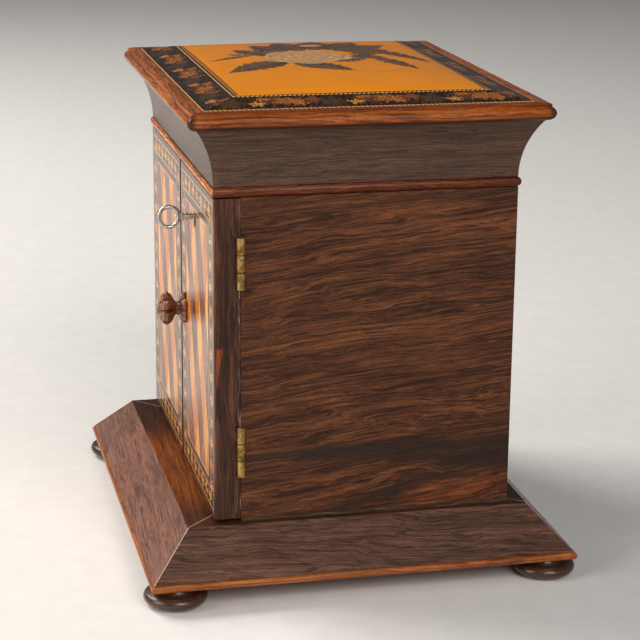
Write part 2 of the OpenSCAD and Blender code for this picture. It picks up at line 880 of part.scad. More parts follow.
// Small turned knob: a flange, a neck and a round head, with a pin through the drawer front
module pull(level) {
    head = pull_d / 2;
    color(ebony) translate([0, drawer_y, drawer_z(level) + drawer_h / 2]) rotate([90, 0, 0])
        rotate_extrude() {
            translate([0, -drawer_front_t]) square([pull_pin / 2 - running, drawer_front_t]);
            square([pull_d * 0.35, 1.5]);
            square([pull_d * 0.2, pull_l - 1]);
            translate([0, pull_l - head]) intersection() {
                circle(head);
                translate([0, -head * 0.5]) square([head, head * 1.5]);
            }
        }
}

module drawer_top() drawer(2);
module drawer_middle() drawer(1);
module drawer_bottom() drawer(0);
module drawer_top_knob() pull(2);
module drawer_middle_knob() pull(1);
module drawer_bottom_knob() pull(0);

// ---------------------------------------------------------------- movement

// Pivot posts and pillars are part of the bedplate
module bedplate() {
    color(brass) difference() {
        union() {
            board([-bed_l / 2, bed_y - bed_w / 2, bed_z - bed_t],
                  [bed_l / 2, bed_y + bed_w / 2, bed_z]);
            for (p = bed_screws)
                translate([p.x, p.y, z_well]) cylinder(h = pillar_h, r = pillar_r);
            translate([lever_pivot.x, lever_pivot.y, bed_z]) cylinder(h = pivot_l, d = arbor_d);
        }
        for (p = bed_screws)
            translate([p.x, p.y, z_well - cut])
                cylinder(h = pillar_h + bed_t + 2 * cut, d = bed_screw_d + 2 * running);
    }
}

// A round-headed screw whose head stands on the given point, with a slot across it
module screw(x, y, z, d, length) {
    translate([x, y, z]) {
        difference() {
            cylinder(h = d * head_h, d = d * head_w);
            translate([-d, -slot_w / 2, d * slot_low]) cube([2 * d, slot_w, d]);
        }
        translate([0, 0, -length]) cylinder(h = length, d = d);
    }
}

module movement_screws() {
    color(blued_steel) {
        for (p = bed_screws)
            screw(p.x, p.y, bed_z, bed_screw_d, bed_t + pillar_h + well_t - play);
        for (x = comb_screw_xs)
            screw(x, comb_screw_y, cyl_z + comb_t / 2, comb_screw_d, comb_t + comb_screw_hold);
    }
}

module comb_base() {
    top = cyl_z - comb_t / 2;
    color(brass) difference() {
        board([cyl_x - comb_l / 2, comb_y, bed_z],
              [cyl_x + comb_l / 2, comb_y + comb_seat, top]);
        for (x = comb_screw_xs)
            translate([x, comb_screw_y, top - comb_screw_room])
                cylinder(h = comb_screw_room + cut, d = comb_screw_d + 2 * running);
    }
}

module comb() {
    pitch = comb_l / comb_teeth;
    color(steel) difference() {
        board([cyl_x - comb_l / 2, comb_y, cyl_z - comb_t / 2],
              [cyl_x + comb_l / 2, comb_tip_y, cyl_z + comb_t / 2]);
        for (i = [1:comb_teeth - 1])
            translate([cyl_x - comb_l / 2 + i * pitch - comb_slot / 2, comb_tip_y - tooth_l,
                       cyl_z - comb_t])
                cube([comb_slot, tooth_l + cut, 2 * comb_t]);
        for (x = comb_screw_xs)
            translate([x, comb_screw_y, cyl_z - comb_t])
                cylinder(h = 2 * comb_t, d = comb_screw_d + 2 * running);
    }
}

// Hollow drum with two end caps, bored for the arbor
module cylinder_drum() {
    translate([cyl_x - cylinder_l / 2, cyl_y, cyl_z]) rotate([0, 90, 0]) rotate_extrude()
        difference() {
            translate([arbor_d / 2 + running, 0])
                square([cylinder_d / 2 - arbor_d / 2 - running, cylinder_l]);
            translate([0, cap_t])
                square([cylinder_d / 2 - cylinder_wall, cylinder_l - 2 * cap_t]);
        }
}

module cylinder_node() color(brass) cylinder_drum();

module cylinder_arbor() {
    start = pinion_x - play;
    color(steel)
        rod_x(start, cyl_y, cyl_z, right_plate_x + plate_t + play - start, arbor_d);
}

module cylinder_wheels() {
    color(brass) {
        wheel(pinion_x, cyl_y, cyl_z, pinion_teeth, drive_module, arbor_d);
        wheel(great_x, cyl_y, cyl_z, great_teeth, governor_module, arbor_d);
    }
}

// An upright plate with a foot, drilled along X at each [y, diameter] of "bores"
module bracket(x, y_low, y_high, foot, bores) {
    difference() {
        union() {
            board([x, y_low, bed_z], [x + plate_t, y_high, cyl_z + plate_over]);
            board([min(x, x + foot), y_low, bed_z],
                  [max(x, x + foot) + plate_t, y_high, bed_z + foot_t]);
        }
        for (b = bores) rod_x(x - cut, b[0], cyl_z, plate_t + 2 * cut, b[1] + 2 * running);
    }
}

module bearing_brackets() {
    color(brass) {
        bracket(outer_plate_x, barrel_y - plate_half, barrel_y + plate_half, -foot_reach,
                [[barrel_y, arbor_d]]);
        bracket(left_plate_x, barrel_y - plate_half, cyl_y + plate_half, foot_reach,
                [[barrel_y, arbor_d], [cyl_y, arbor_d]]);
        bracket(right_plate_x, cyl_y - plate_half, governor_y + plate_half, -foot_short,
                [[cyl_y, arbor_d], [governor_y, fine_arbor_d]]);
    }
}

// Closed drum round the mainspring
module spring_barrel() {
    color(brass) translate([barrel_x, barrel_y, cyl_z]) rotate([0, 90, 0]) rotate_extrude()
        difference() {
            translate([arbor_d / 2 + running, 0])
                square([(spring_barrel_d - arbor_d) / 2 - running, spring_barrel_l]);
            translate([0, barrel_wall])
                square([spring_barrel_d / 2 - barrel_wall, spring_barrel_l - 2 * barrel_wall]);
        }
}

module barrel_wheel() {
    color(brass) wheel(barrel_x + spring_barrel_l + glue, barrel_y, cyl_z, barrel_teeth,
                       drive_module, arbor_d, 0.5);
}

// The wound spring stands as one ring inside the barrel
module mainspring() {
    outer = spring_barrel_d / 2 - spring_room;
    color(blued_steel) translate([barrel_x + spring_room, barrel_y, cyl_z]) rotate([0, 90, 0])
        difference() {
            cylinder(h = spring_barrel_l - 2 * spring_room, r = outer);
            translate([0, 0, -cut]) cylinder(h = spring_barrel_l, r = outer - spring_w);
        }
}

module barrel_arbor() {
    color(steel) {
        rod_x(lever_x - play, barrel_y, cyl_z, left_plate_x + plate_t - lever_x, arbor_d);
        translate([ratchet_x, barrel_y, cyl_z]) rotate([0, 90, 0])
            cylinder(h = wheel_t, d = ratchet_d, $fn = 12);
    }
}

module winding_lever() {
    color(steel) difference() {
        union() {
            rod_x(lever_x, barrel_y, cyl_z, wheel_t, lever_hub_d);
            board([lever_x, barrel_y - crank_l, cyl_z - lever_w / 2],
                  [lever_x + wheel_t, barrel_y, cyl_z + lever_w / 2]);
            rod_x(lever_x - grip_l, barrel_y - crank_l + grip_inset, cyl_z, grip_l + wheel_t,
                  grip_d);
        }
        rod_x(lever_x - cut, barrel_y, cyl_z, wheel_t + 2 * cut, arbor_d + 2 * running);
    }
}

// The cock carries both ends of the endless screw and one end of the governor's arbor
module governor_cock() {
    bore = fine_arbor_d + 2 * running;
    color(brass) difference() {
        union() {
            board([cock_x, worm_y - cock_half, bed_z],
                  [cock_x + cock_t, governor_y + cock_t, cock_z + cock_arm_t]);
            board([worm_x - cock_t, worm_y - cock_half, cock_z],
                  [cock_x + cut, worm_y + cock_half, cock_z + cock_arm_t]);
            board([worm_x - cock_foot_t, worm_y - cock_foot_t, bed_z],
                  [cock_x + cut, worm_y + cock_foot_t, bed_z + cock_foot_t]);
        }
        rod_x(cock_x - cut, governor_y, cyl_z, cock_t + 2 * cut, bore);
        translate([worm_x, worm_y, bed_z + bore_rise]) cylinder(h = cock_z, d = bore);
    }
}

module governor_wheels() {
    start = great_x - play;
    color(brass) {
        wheel(great_x, governor_y, cyl_z, governor_teeth, governor_module, fine_arbor_d, 0.5);
        wheel(worm_x - wheel_t / 2, governor_y, cyl_z, worm_teeth, governor_module, fine_arbor_d);
    }
    color(steel)
        rod_x(start, governor_y, cyl_z, cock_x + cock_t - start, fine_arbor_d);
}

// Endless screw with the fly on its upper end
module endless_screw() {
    color(steel) translate([worm_x, worm_y, 0]) {
        translate([0, 0, bed_z + screw_rise]) cylinder(h = cock_z - bed_z, d = fine_arbor_d);
        translate([0, 0, cyl_z - worm_l / 2]) cylinder(h = worm_l, d = screw_d);
        translate([-fly_w / 2, -fly_t / 2, cyl_z + fly_drop]) cube([fly_w, fly_t, fly_h]);
    }
}

module start_lever() {
    color(steel) translate([lever_pivot.x, lever_pivot.y, bed_z + lever_rise]) difference() {
        union() {
            cylinder(h = wheel_t, d = lever_hub_d);
            translate([-lever_w / 2, -lever_front, 0]) cube([lever_w, lever_l, wheel_t]);
        }
        translate([0, 0, -cut])
            cylinder(h = wheel_t + 2 * cut, d = arbor_d + 2 * running);
    }
}

feet();
plinth_edging();
plinth_boards();
base_board();
base_fillet();
carcass_floor();
side_left();
side_right();
back_panel();
front_rail();
door_head();
drawer_dividers();
well_floor();
well_partition();
bead_moulding();
cornice_mouldings();
lid_edge();
lid_board();
lid_band();
lid_panel();
lid_hinge_fixed();
lid_hinge_moving();
hinge_pins();
door_left();
door_left_face();
door_right();
door_right_face();
door_hinges_fixed();
door_left_hinges();
door_right_hinges();
door_knob();
escutcheon();
lock_case();
lock_bolt();
lock_keep();
key_bow();
key_shank();
drawer_top();
drawer_middle();
drawer_bottom();
drawer_top_knob();
drawer_middle_knob();
drawer_bottom_knob();
bedplate();
movement_screws();
comb_base();
comb();
cylinder_node();  // cylinder
cylinder_arbor();
cylinder_wheels();
bearing_brackets();
spring_barrel();
barrel_wheel();
mainspring();
barrel_arbor();
winding_lever();
governor_cock();
governor_wheels();
endless_screw();
start_lever();
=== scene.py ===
"""A rosewood table cabinet with parquetry doors, an inlaid lid and a small cylinder movement.

Metres throughout. Pieces follow the order in which the cabinet is put together.
"""
import math

import bpy
import numpy as np
from mathutils import Matrix, Vector


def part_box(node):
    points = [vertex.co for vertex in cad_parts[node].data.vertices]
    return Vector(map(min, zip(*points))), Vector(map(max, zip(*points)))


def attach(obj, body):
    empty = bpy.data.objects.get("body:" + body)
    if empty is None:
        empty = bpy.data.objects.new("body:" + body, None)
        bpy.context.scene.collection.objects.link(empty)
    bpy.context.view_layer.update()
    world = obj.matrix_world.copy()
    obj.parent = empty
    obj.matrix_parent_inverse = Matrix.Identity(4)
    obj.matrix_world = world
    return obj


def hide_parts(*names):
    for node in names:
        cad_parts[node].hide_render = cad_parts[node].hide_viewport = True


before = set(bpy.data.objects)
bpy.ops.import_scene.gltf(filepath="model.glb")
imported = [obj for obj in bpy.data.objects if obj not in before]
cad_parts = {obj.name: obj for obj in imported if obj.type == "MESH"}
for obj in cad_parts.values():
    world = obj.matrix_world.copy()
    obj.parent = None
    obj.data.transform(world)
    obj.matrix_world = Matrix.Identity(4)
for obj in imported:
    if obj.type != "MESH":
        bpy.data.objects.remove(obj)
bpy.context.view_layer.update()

MM = 0.001

# ---------------------------------------------------------------------------
# Bun feet: squashed turned buns of dark stained wood, one under each corner,
# glued to the frame of the plinth. Each is turned about its own upright axis.


def surface(name, points, faces, uv=None, sharp=35):
    """A mesh from points (n, 3) and faces, smooth but for edges bent more than `sharp` degrees.

    uv holds one pair of metres for each corner of each face, in the order of the faces.
    """
    mesh = bpy.data.meshes.new(name)
    mesh.from_pydata(points.reshape(-1, 3).tolist(), [], faces)
    if uv is not None:
        layer = mesh.uv_layers.new(name="grain")
        layer.data.foreach_set("uv", np.asarray(uv, np.float32).ravel())
    mesh.polygons.foreach_set("use_smooth", np.ones(len(mesh.polygons), bool))
    mesh.set_sharp_from_angle(angle=math.radians(sharp))
    piece = bpy.data.objects.new(name, mesh)
    bpy.context.scene.collection.objects.link(piece)
    return piece


def skin(rings, closed=False):
    """Faces and corner coordinates over rings (m, n, 3) of points; each ring closes on itself.

    Ring i joins ring i + 1, and the last joins the first where closed, or else both ends get
    a flat cap. Corners are measured in metres: round the ring, then along the rings.
    """
    m, n = rings.shape[:2]
    i, j = np.meshgrid(np.arange(m if closed else m - 1), np.arange(n), indexing="ij")
    i, j = i.ravel(), j.ravel()
    i_next, j_next = (i + 1) % m, (j + 1) % n
    quads = np.stack([i * n + j, i * n + j_next, i_next * n + j_next, i_next * n + j], 1)
    round_step = np.linalg.norm(np.roll(rings, -1, 1) - rings, axis=2).mean(0)
    along_step = np.linalg.norm(np.roll(rings, -1, 0) - rings, axis=2).mean(1)
    u = np.concatenate([[0], np.cumsum(round_step)])
    v = np.concatenate([[0], np.cumsum(along_step)])
    uv = np.stack([np.stack([u[j], v[i]], 1), np.stack([u[j + 1], v[i]], 1),
                   np.stack([u[j + 1], v[i + 1]], 1), np.stack([u[j], v[i + 1]], 1)], 1)
    faces, uv = quads.tolist(), uv.reshape(-1, 2)
    if not closed:
        faces += [list(range(n))[::-1], list(range((m - 1) * n, m * n))]
        uv = np.concatenate([uv, np.zeros((2 * n, 2))])
    return faces, uv


def arc(x, y, r, start, end, steps=8):
    """Points on a circle of radius r about (x, y), from one angle to another in degrees."""
    a = np.radians(np.linspace(start, end, steps + 1))
    return np.stack([x + r * np.cos(a), y + r * np.sin(a)], 1)


def turned(name, profile, centre, axis="z", sides=48):
    """A turned piece: the profile (radius, height) spun about an axis through centre.

    A point is centre + height along the axis + radius * (cos, sin) across it. The axis is
    +Z, or -Y for a piece that stands out of the doors.
    """
    a = np.linspace(0, 2 * np.pi, sides, endpoint=False)
    r, h = np.asarray(profile, float).T[:, :, None]
    flat = (np.cos(a) * r, np.sin(a) * r, h + 0 * a)
    x, y, z = flat if axis == "z" else (flat[0], -flat[2], flat[1])
    rings = np.stack([x, y, z], 2) + np.asarray(centre)
    return surface(name, rings, *skin(rings))


class Finish:
    """One surface finish; each method adds a node to it and returns what the node gives."""

    def __init__(self, name):
        self.material = bpy.data.materials.new(name)
        self.material.use_nodes = True
        self.tree = self.material.node_tree
        self.shader = self.tree.nodes["Principled BSDF"]

    def feed(self, socket, value):
        if isinstance(value, bpy.types.NodeSocket):
            self.tree.links.new(value, socket)
        else:
            socket.default_value = value

    def node(self, kind, values, out=0, **settings):
        made = self.tree.nodes.new("ShaderNode" + kind)
        for key, value in settings.items():
            setattr(made, key, value)
        for key, value in values.items():
            self.feed(made.inputs[key], value)
        return made.outputs[out]

    def math(self, operation, *values, clamp=False):
        return self.node("Math", dict(enumerate(values)), operation=operation, use_clamp=clamp)

    def times(self, first, second):
        return self.math("MULTIPLY", first, second)

    def plus(self, first, second):
        return self.math("ADD", first, second)

    def minus(self, first, second):
        return self.math("SUBTRACT", first, second)

    def rest(self, share):
        """1 less a share."""
        return self.minus(1.0, share)

    def step(self, value, low, high):
        """0 below low, 1 above high and a smooth rise between them."""
        return self.node("MapRange", {"Value": value, "From Min": low, "From Max": high},
                         interpolation_type="SMOOTHSTEP")

    def between(self, value, low, high, soft):
        """1 between low and high, 0 outside, with edges `soft` wide."""
        return self.minus(self.step(value, low - soft, low + soft),
                          self.step(value, high - soft, high + soft))

    def spread(self, value, low, high):
        """Takes the middle of a noise, 0.3 to 0.7, to low to high."""
        return self.node("MapRange", {"Value": value, "From Min": 0.3, "From Max": 0.7,
                                      "To Min": low, "To Max": high})

    def noise(self, vector, scale=(1, 1, 1), detail=3.0, rough=0.5, shift=(0, 0, 0)):
        placed = self.node("Mapping", {"Vector": vector, "Scale": scale, "Location": shift})
        return self.node("TexNoise", {"Vector": placed, "Scale": 1.0, "Detail": detail,
                                      "Roughness": rough})

    def ramp(self, value, stops, mode="LINEAR"):
        out = self.node("ValToRGB", {"Fac": value})
        band = out.node.color_ramp
        band.interpolation = mode
        while len(band.elements) < len(stops):
            band.elements.new(0.5)
        for element, (place, colour) in zip(band.elements, stops):
            element.position = place
            element.color = (*colour, 1)
        return out

    def mix(self, share, first, second, blend="MIX"):
        made = self.tree.nodes.new("ShaderNodeMix")
        made.data_type, made.blend_type = "RGBA", blend
        for socket, value in zip((made.inputs[0], made.inputs[6], made.inputs[7]),
                                 (share, first, second)):
            self.feed(socket, (*value, 1) if isinstance(value, tuple) else value)
        return made.outputs[2]

    def tint(self, colour, by):
        return self.mix(1.0, colour, by, "MULTIPLY")

    def split(self, vector):
        made = self.tree.nodes.new("ShaderNodeSeparateXYZ")
        self.tree.links.new(vector, made.inputs[0])
        return made.outputs

    def join(self, x, y, z):
        return self.node("CombineXYZ", {0: x, 1: y, 2: z})

    def coordinates(self, kind):
        return self.tree.nodes.new("ShaderNodeTexCoord").outputs[kind]

    def polish(self, colour, roughness, height=None, depth=0.1 * MM, **fixed):
        """Joins colour, roughness and relief to the shader; fixed names its other sockets."""
        self.feed(self.shader.inputs["Base Color"], colour)
        self.feed(self.shader.inputs["Roughness"], roughness)
        if height is not None:
            bump = self.node("Bump", {"Height": height, "Distance": depth, "Strength": 1.0})
            self.tree.links.new(bump, self.shader.inputs["Normal"])
        for socket, value in fixed.items():
            self.feed(self.shader.inputs[socket.replace("_", " ")], value)
        return self.material


def wood(name, tones, grain="x", streak=420, seed=0.0, shine=0.3, gloss=0.2, contrast=1.0,
         pores=0.5, tilt=0.0, figure=None):
    """Polished rosewood: streaks along the grain, slow waves across it, dark veins and pores.

    tones are the darkest, middle and lightest colours. The grain runs along x, y or z of the
    piece, turned by tilt, or along the first direction of its own grain map ("map").
    Streaks are noise that is long along the grain and 1 / streak metres wide, bent sideways
    by a slower noise. figure, where given, takes (finish, along, across, colour) and
    returns a new colour.
    """
    f = Finish(name)
    if grain == "map":
        along, across, deep = f.split(f.coordinates("UV"))
    else:
        x, y, z = f.split(f.coordinates("Object"))
        along, across, deep = {"x": (x, z, y), "y": (y, z, x), "z": (z, y, x)}[grain]
    flat = f.join(along, across, deep)
    shift = (seed, seed * 1.7, seed * 0.6)
    sway = f.noise(flat, (9, 26, 26), 3.0, 0.55, shift)
    lean = f.times(along, math.tan(tilt))
    bent = f.minus(f.plus(across, f.times(sway, 0.022)), lean)
    bent_deep = f.plus(deep, f.times(sway, 0.015))
    grained = f.join(along, bent, bent_deep)
    streaks = f.noise(grained, (streak * 0.03, streak, streak), 4.0, 0.6, shift)
    bands = f.noise(grained, (streak * 0.016, streak * 0.2, streak * 0.2), 3.0, 0.5, shift)
    fine = f.noise(grained, (streak * 0.13, streak * 4, streak * 4), 3.0, 0.65, shift)
    veins = f.noise(grained, (streak * 0.035, streak * 1.3, streak * 1.3), 2.0, 0.5, shift)
    specks = f.noise(grained, (220, 3600, 3600), 1.0, 0.5, shift)
    tone = f.plus(f.times(streaks, 0.42), f.times(bands, 0.26))
    tone = f.plus(tone, f.times(fine, 0.32))
    wide = 0.13 / contrast
    colour = f.ramp(tone, [(0.5 - wide, tones[0]), (0.49, tones[1]), (0.5 + wide, tones[2])])
    vein = f.times(f.step(veins, 0.53, 0.63), 0.72)
    colour = f.mix(vein, colour, tones[0])
    if figure is not None:
        colour = figure(f, along, bent, colour)
    pore = f.times(f.step(specks, 0.56, 0.66), pores)
    colour = f.mix(pore, colour, tuple(c * 0.4 for c in tones[0]))
    height = f.minus(f.times(fine, 0.5), pore)
    return f.polish(colour, f.spread(fine, shine, shine + 0.14), height, 0.05 * MM,
                    Specular_IOR_Level=gloss, Coat_Weight=0.04, Coat_Roughness=0.1)


def dress(node, material):
    """Gives a node of the frame its finish."""
    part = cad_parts[node]
    part.data.materials.clear()
    part.data.materials.append(material)


def fit(piece, material, body, slot, *stands_for):
    """Finishes a new piece, sets it on its body and lets it stand for nodes of the frame."""
    piece.data.materials.append(material)
    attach(piece, body)
    if stands_for:
        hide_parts(*stands_for)
    return piece


feet_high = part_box("feet")[1]
foot_r = 19.5 * MM
foot_h = feet_high.z
foot_x, foot_y = feet_high.x - foot_r, feet_high.y - foot_r
stained_wood = wood("stained_foot_wood", [(0.012, 0.006, 0.004), (0.055, 0.022, 0.013),
                                          (0.15, 0.06, 0.034)], "map", 420, 3.0, 0.2, 0.5)
foot_profile = np.concatenate([
    [(9 * MM, 0), (11.5 * MM, 0.15 * MM), (14.2 * MM, 0.9 * MM)],
    arc(foot_r - 3.4 * MM, 5.6 * MM, 3.4 * MM, -60, 75, 9),
    [(foot_r - 4.2 * MM, 9.4 * MM), (foot_r - 6.0 * MM, 10.2 * MM), (12.6 * MM, 11.2 * MM),
     (12.2 * MM, foot_h)],
])
corners = [(i, j) for i in (-1, 1) for j in (-1, 1)]
for number, (i, j) in enumerate(corners):
    foot = turned(f"bun_foot_{number + 1}", foot_profile, (i * foot_x, j * foot_y, 0))
    fit(foot, stained_wood, "carcass", "ebonised_wood", *(["feet"] if number == 0 else []))

# ---------------------------------------------------------------------------
# Edging and plinth: a half-round strip of orange rosewood under four sloping boards, all
# mitred at the corners and glued round the base. The flat ledge on top is a redder veneer.


def carried(name, section, half_x, half_y, middle, corner=0.7 * MM):
    """A section carried round a rectangle whose corners are worn to small quarter circles.

    A point of the section at offset o outwards and height z follows the rectangle of half
    sizes half + o; a corner point is the arc's centre, half + o - corner, plus
    corner * (cos, sin). The grain map runs along each side, in metres, then round the section.
    """
    section = np.asarray(section, float)
    steps = 4
    quarter = np.linspace(0, np.pi / 2, steps + 1)
    angle = (quarter + np.arange(4)[:, None] * np.pi / 2).ravel()
    sign_x = np.repeat([1, -1, -1, 1], steps + 1)
    sign_y = np.repeat([1, 1, -1, -1], steps + 1)
    past_half = np.tile(np.arange(steps + 1) >= steps // 2, 4).astype(int)
    side = past_half + np.repeat(np.arange(4), steps + 1)
    o, z = section[:, 0][:, None], section[:, 1][:, None]
    x = sign_x * (half_x + o - corner) + corner * np.cos(angle)
    y = sign_y * (half_y + o - corner) + corner * np.sin(angle)
    rings = np.stack([x, y + middle, z + 0 * x], 2)
    faces, _ = skin(rings, closed=True)
    m, n = rings.shape[:2]
    i, j = np.divmod(np.arange(m * n), n)
    runs_along_y = side[j] % 2 == 0
    rolled = [(i, j), (i, (j + 1) % n), ((i + 1) % m, (j + 1) % n), ((i + 1) % m, j)]
    length = np.concatenate([[0], np.cumsum(np.hypot(*(np.roll(section, -1, 0) - section).T))])
    heights = [length[i], length[i], length[i + 1], length[i + 1]]
    uv = [np.stack([np.where(runs_along_y, rings[a, b, 1], rings[a, b, 0]) + 0.9 * (side[j] % 4),
                    h], 1) for (a, b), h in zip(rolled, heights)]
    return surface(name, rings, faces, np.stack(uv, 1))


side_low, side_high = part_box("side_right")
half_x, y_joint, y_back = side_high.x, side_low.y, side_high.y
z_carcass = side_low.z
y_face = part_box("door_right_face")[0].y
y_mid, half_y = (y_face + y_back) / 2, (y_back - y_face) / 2

edging_low, edging_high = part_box("plinth_edging")
plinth_low, plinth_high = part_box("plinth_boards")
edging_r = (edging_high.z - edging_low.z) / 2
nose = edging_high.x - plinth_high.x - edging_r
orange_tones = [(0.12, 0.026, 0.005), (0.3, 0.08, 0.015), (0.5, 0.17, 0.035)]
edging_wood = wood("orange_rosewood", orange_tones, "map", 420, 7.0, 0.24, contrast=0.9)
edging_section = np.concatenate([
    [(-30 * MM, edging_low.z)],
    arc(nose, edging_low.z + edging_r, edging_r - 0.02 * MM, -90, 90, 12),
    [(-30 * MM, edging_high.z)],
])
edging = carried("plinth_half_round", edging_section, plinth_high.x, plinth_high.y, 0)
fit(edging, edging_wood, "carcass", "red_rosewood", "plinth_edging")

slope_run = 25 * MM
slope_section = np.concatenate([
    [(-44 * MM, plinth_low.z), (-0.4 * MM, plinth_low.z), (0, plinth_low.z + 0.3 * MM)],
    arc(-slope_run - 0.4 * MM, plinth_high.z - 1.1 * MM, 1.1 * MM, 45, 90, 4),
    [(-44 * MM, plinth_high.z)],
])


def ledge_tone_and_painted_light(f, along, across, colour):
    """The flat top is a warmer, darker veneer than the slope, amber in front of the doors.

    The front slope is painted lighter and redder as painted glare; pale mitre lines are painted
    highlights.
    """
    x, y, z = f.split(f.coordinates("Object"))
    on_top = f.step(z, plinth_high.z - 0.5 * MM, plinth_high.z - 0.2 * MM)
    in_x = f.minus(plinth_high.x, f.math("ABSOLUTE", x))
    in_y = f.minus(plinth_high.y, f.math("ABSOLUTE", y))
    in_front = f.times(f.math("LESS_THAN", in_y, in_x), f.math("LESS_THAN", y, 0.0))
    amber = f.times(in_front, f.between(x, -40 * MM, 84 * MM, 30 * MM))
    deep = f.tint(colour, (0.5, 0.3, 0.16))
    bright = f.tint(colour, (1.9, 0.95, 0.2))
    # painted glare: the front run of the slope is tinted lighter and redder than the side runs
    slope = f.mix(in_front, colour, f.tint(colour, (1.75, 1.5, 1.45)))
    colour = f.mix(on_top, slope, f.mix(amber, deep, bright))
    # painted highlight: a pale line along each mitre arris of the slope
    mitre_highlight = f.between(f.minus(in_x, in_y), -0.5 * MM, 0.5 * MM, 0.2 * MM)
    return f.mix(f.times(mitre_highlight, 0.6), colour, (0.5, 0.36, 0.28))


plinth_wood = wood("plinth_rosewood", [(0.026, 0.014, 0.01), (0.095, 0.046, 0.03),
                                       (0.21, 0.108, 0.072)], "map", 700, 1.0, 0.26,
                   contrast=0.8, tilt=-0.06, figure=ledge_tone_and_painted_light)
plinth = carried("sloping_plinth", slope_section, plinth_high.x, plinth_high.y, 0)
fit(plinth, plinth_wood, "carcass", "rosewood", "plinth_boards")

# ---------------------------------------------------------------------------
# Carcass: a cedar floor and base board, rosewood-veneered sides and back, the rail and head
# behind the doors, cedar dividers and well. Boards are butted and glued; a pale fillet of
# satinwood shows under the sides.

cedar = wood("cedar", [(0.16, 0.06, 0.025), (0.3, 0.13, 0.06), (0.42, 0.21, 0.11)], "x", 300,
             5.0, 0.5, 0.15, 0.8)
for node in ("base_board", "carcass_floor", "door_head", "drawer_dividers", "well_floor",
             "well_partition"):
    dress(node, cedar)

fillet_wood = wood("fillet_wood", [(0.02, 0.011, 0.007), (0.07, 0.04, 0.024),
                                   (0.16, 0.1, 0.06)], "y", 500, 2.0, 0.35)
dress("base_fillet", fillet_wood)

side_tones = [(0.02, 0.0088, 0.0058), (0.074, 0.0265, 0.012), (0.19, 0.066, 0.024)]


def side_figure(f, along, across, colour):
    """A dark band that widens and sinks towards the back, over a warm leaf of figure.

    A second, narrow dark streak climbs between them at 5 degrees to the grain.
    """
    height = f.minus(across, z_carcass + 11 * MM)
    swell = f.step(along, -74 * MM, 110 * MM)
    middle = f.minus(45 * MM, f.times(swell, 22 * MM))
    half = f.plus(3.5 * MM, f.times(swell, 10 * MM))
    off = f.math("ABSOLUTE", f.minus(height, middle))
    dark = f.rest(f.step(f.minus(off, half), -4 * MM, 3 * MM))
    climb = f.minus(height, f.times(along, 0.09))
    second = f.times(f.between(climb, 4 * MM, 10 * MM, 3 * MM),
                     f.between(along, -20 * MM, 70 * MM, 20 * MM))
    dark = f.times(f.math("MAXIMUM", dark, second), 0.78)
    colour = f.mix(dark, colour, (0.022, 0.0145, 0.0115))
    patch = f.times(f.between(height, -4 * MM, 8 * MM, 4 * MM),
                    f.between(along, 32 * MM, 92 * MM, 14 * MM))
    return f.mix(patch, colour, f.tint(colour, (2.0, 1.6, 1.3)))


side_wood = wood("side_rosewood", side_tones, "y", 620, 4.0, 0.27, 0.1, 1.15, tilt=0.1,
                 figure=side_figure)
for node in ("side_left", "side_right"):
    dress(node, side_wood)
back_wood = wood("back_rosewood", side_tones, "x", 620, 9.0, 0.3, 0.12, 1.1, tilt=0.04)
for node in ("back_panel", "front_rail"):
    dress(node, back_wood)

# ---------------------------------------------------------------------------
# Bead and cornice: a half-round bead of red rosewood over the doors, and on it a deep
# hollow cornice of dark veneer, upright where it leaves the bead. Both are mitred.

bead_low, bead_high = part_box("bead_moulding")
bead_r = (bead_high.z - bead_low.z) / 2
bead_out = bead_high.x - half_x
red_tones = [(0.035, 0.008, 0.003), (0.1, 0.021, 0.006), (0.22, 0.054, 0.014)]

def painted_front_glare(f, along, across, colour):
    """The run over the doors is painted lighter and paler than the side runs, as painted glare of the
    front light.
    """
    y = f.split(f.coordinates("Object"))[1]
    front = f.rest(f.step(y, y_face - 0.8 * MM, y_face - 0.2 * MM))
    # painted glare: the front run is tinted lighter and paler
    return f.mix(front, colour, f.tint(colour, (4.2, 6.5, 7.0)))


bead_wood = wood("bead_rosewood", red_tones, "map", 460, 11.0, 0.2, 0.15,
                 figure=painted_front_glare)
bead_section = np.concatenate([
    [(-10 * MM, bead_low.z)],
    arc(bead_out - bead_r, bead_low.z + bead_r, bead_r, -90, 90, 14),
    [(-10 * MM, bead_high.z)],
])
bead = carried("half_round_bead", bead_section, half_x, half_y, y_mid)
fit(bead, bead_wood, "carcass", "red_rosewood", "bead_moulding")

cove_low, cove_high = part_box("cornice_mouldings")
cove_h, flare = cove_high.z - cove_low.z, cove_high.x - half_x
cove_r = (cove_h ** 2 + flare ** 2) / (2 * flare)
cove_turn = math.degrees(math.asin(cove_h / cove_r))
cove_section = np.concatenate([
    [(-10 * MM, cove_low.z)],
    arc(cove_r, cove_low.z, cove_r, 180, 180 - cove_turn, 24) - (0, 0.05 * MM),
    [(-10 * MM, cove_high.z - 0.05 * MM)],
])
cove_section[1, 1] = cove_low.z
cove_wood = wood("cornice_rosewood", [(0.026, 0.0145, 0.01), (0.075, 0.039, 0.025),
                                      (0.155, 0.074, 0.043)], "map", 900, 13.0, 0.28, 0.22, 0.8)
cornice = carried("hollow_cornice", cove_section, half_x, half_y, y_mid)
fit(cornice, cove_wood, "carcass", "dark_rosewood", "cornice_mouldings")

# ---------------------------------------------------------------------------
# Lid: a cedar core with a thumb-moulded edge of orange rosewood, a wide band of wood
# mosaic, two lines of stringing and a pillow-shaped satinwood panel inlaid with a spray.

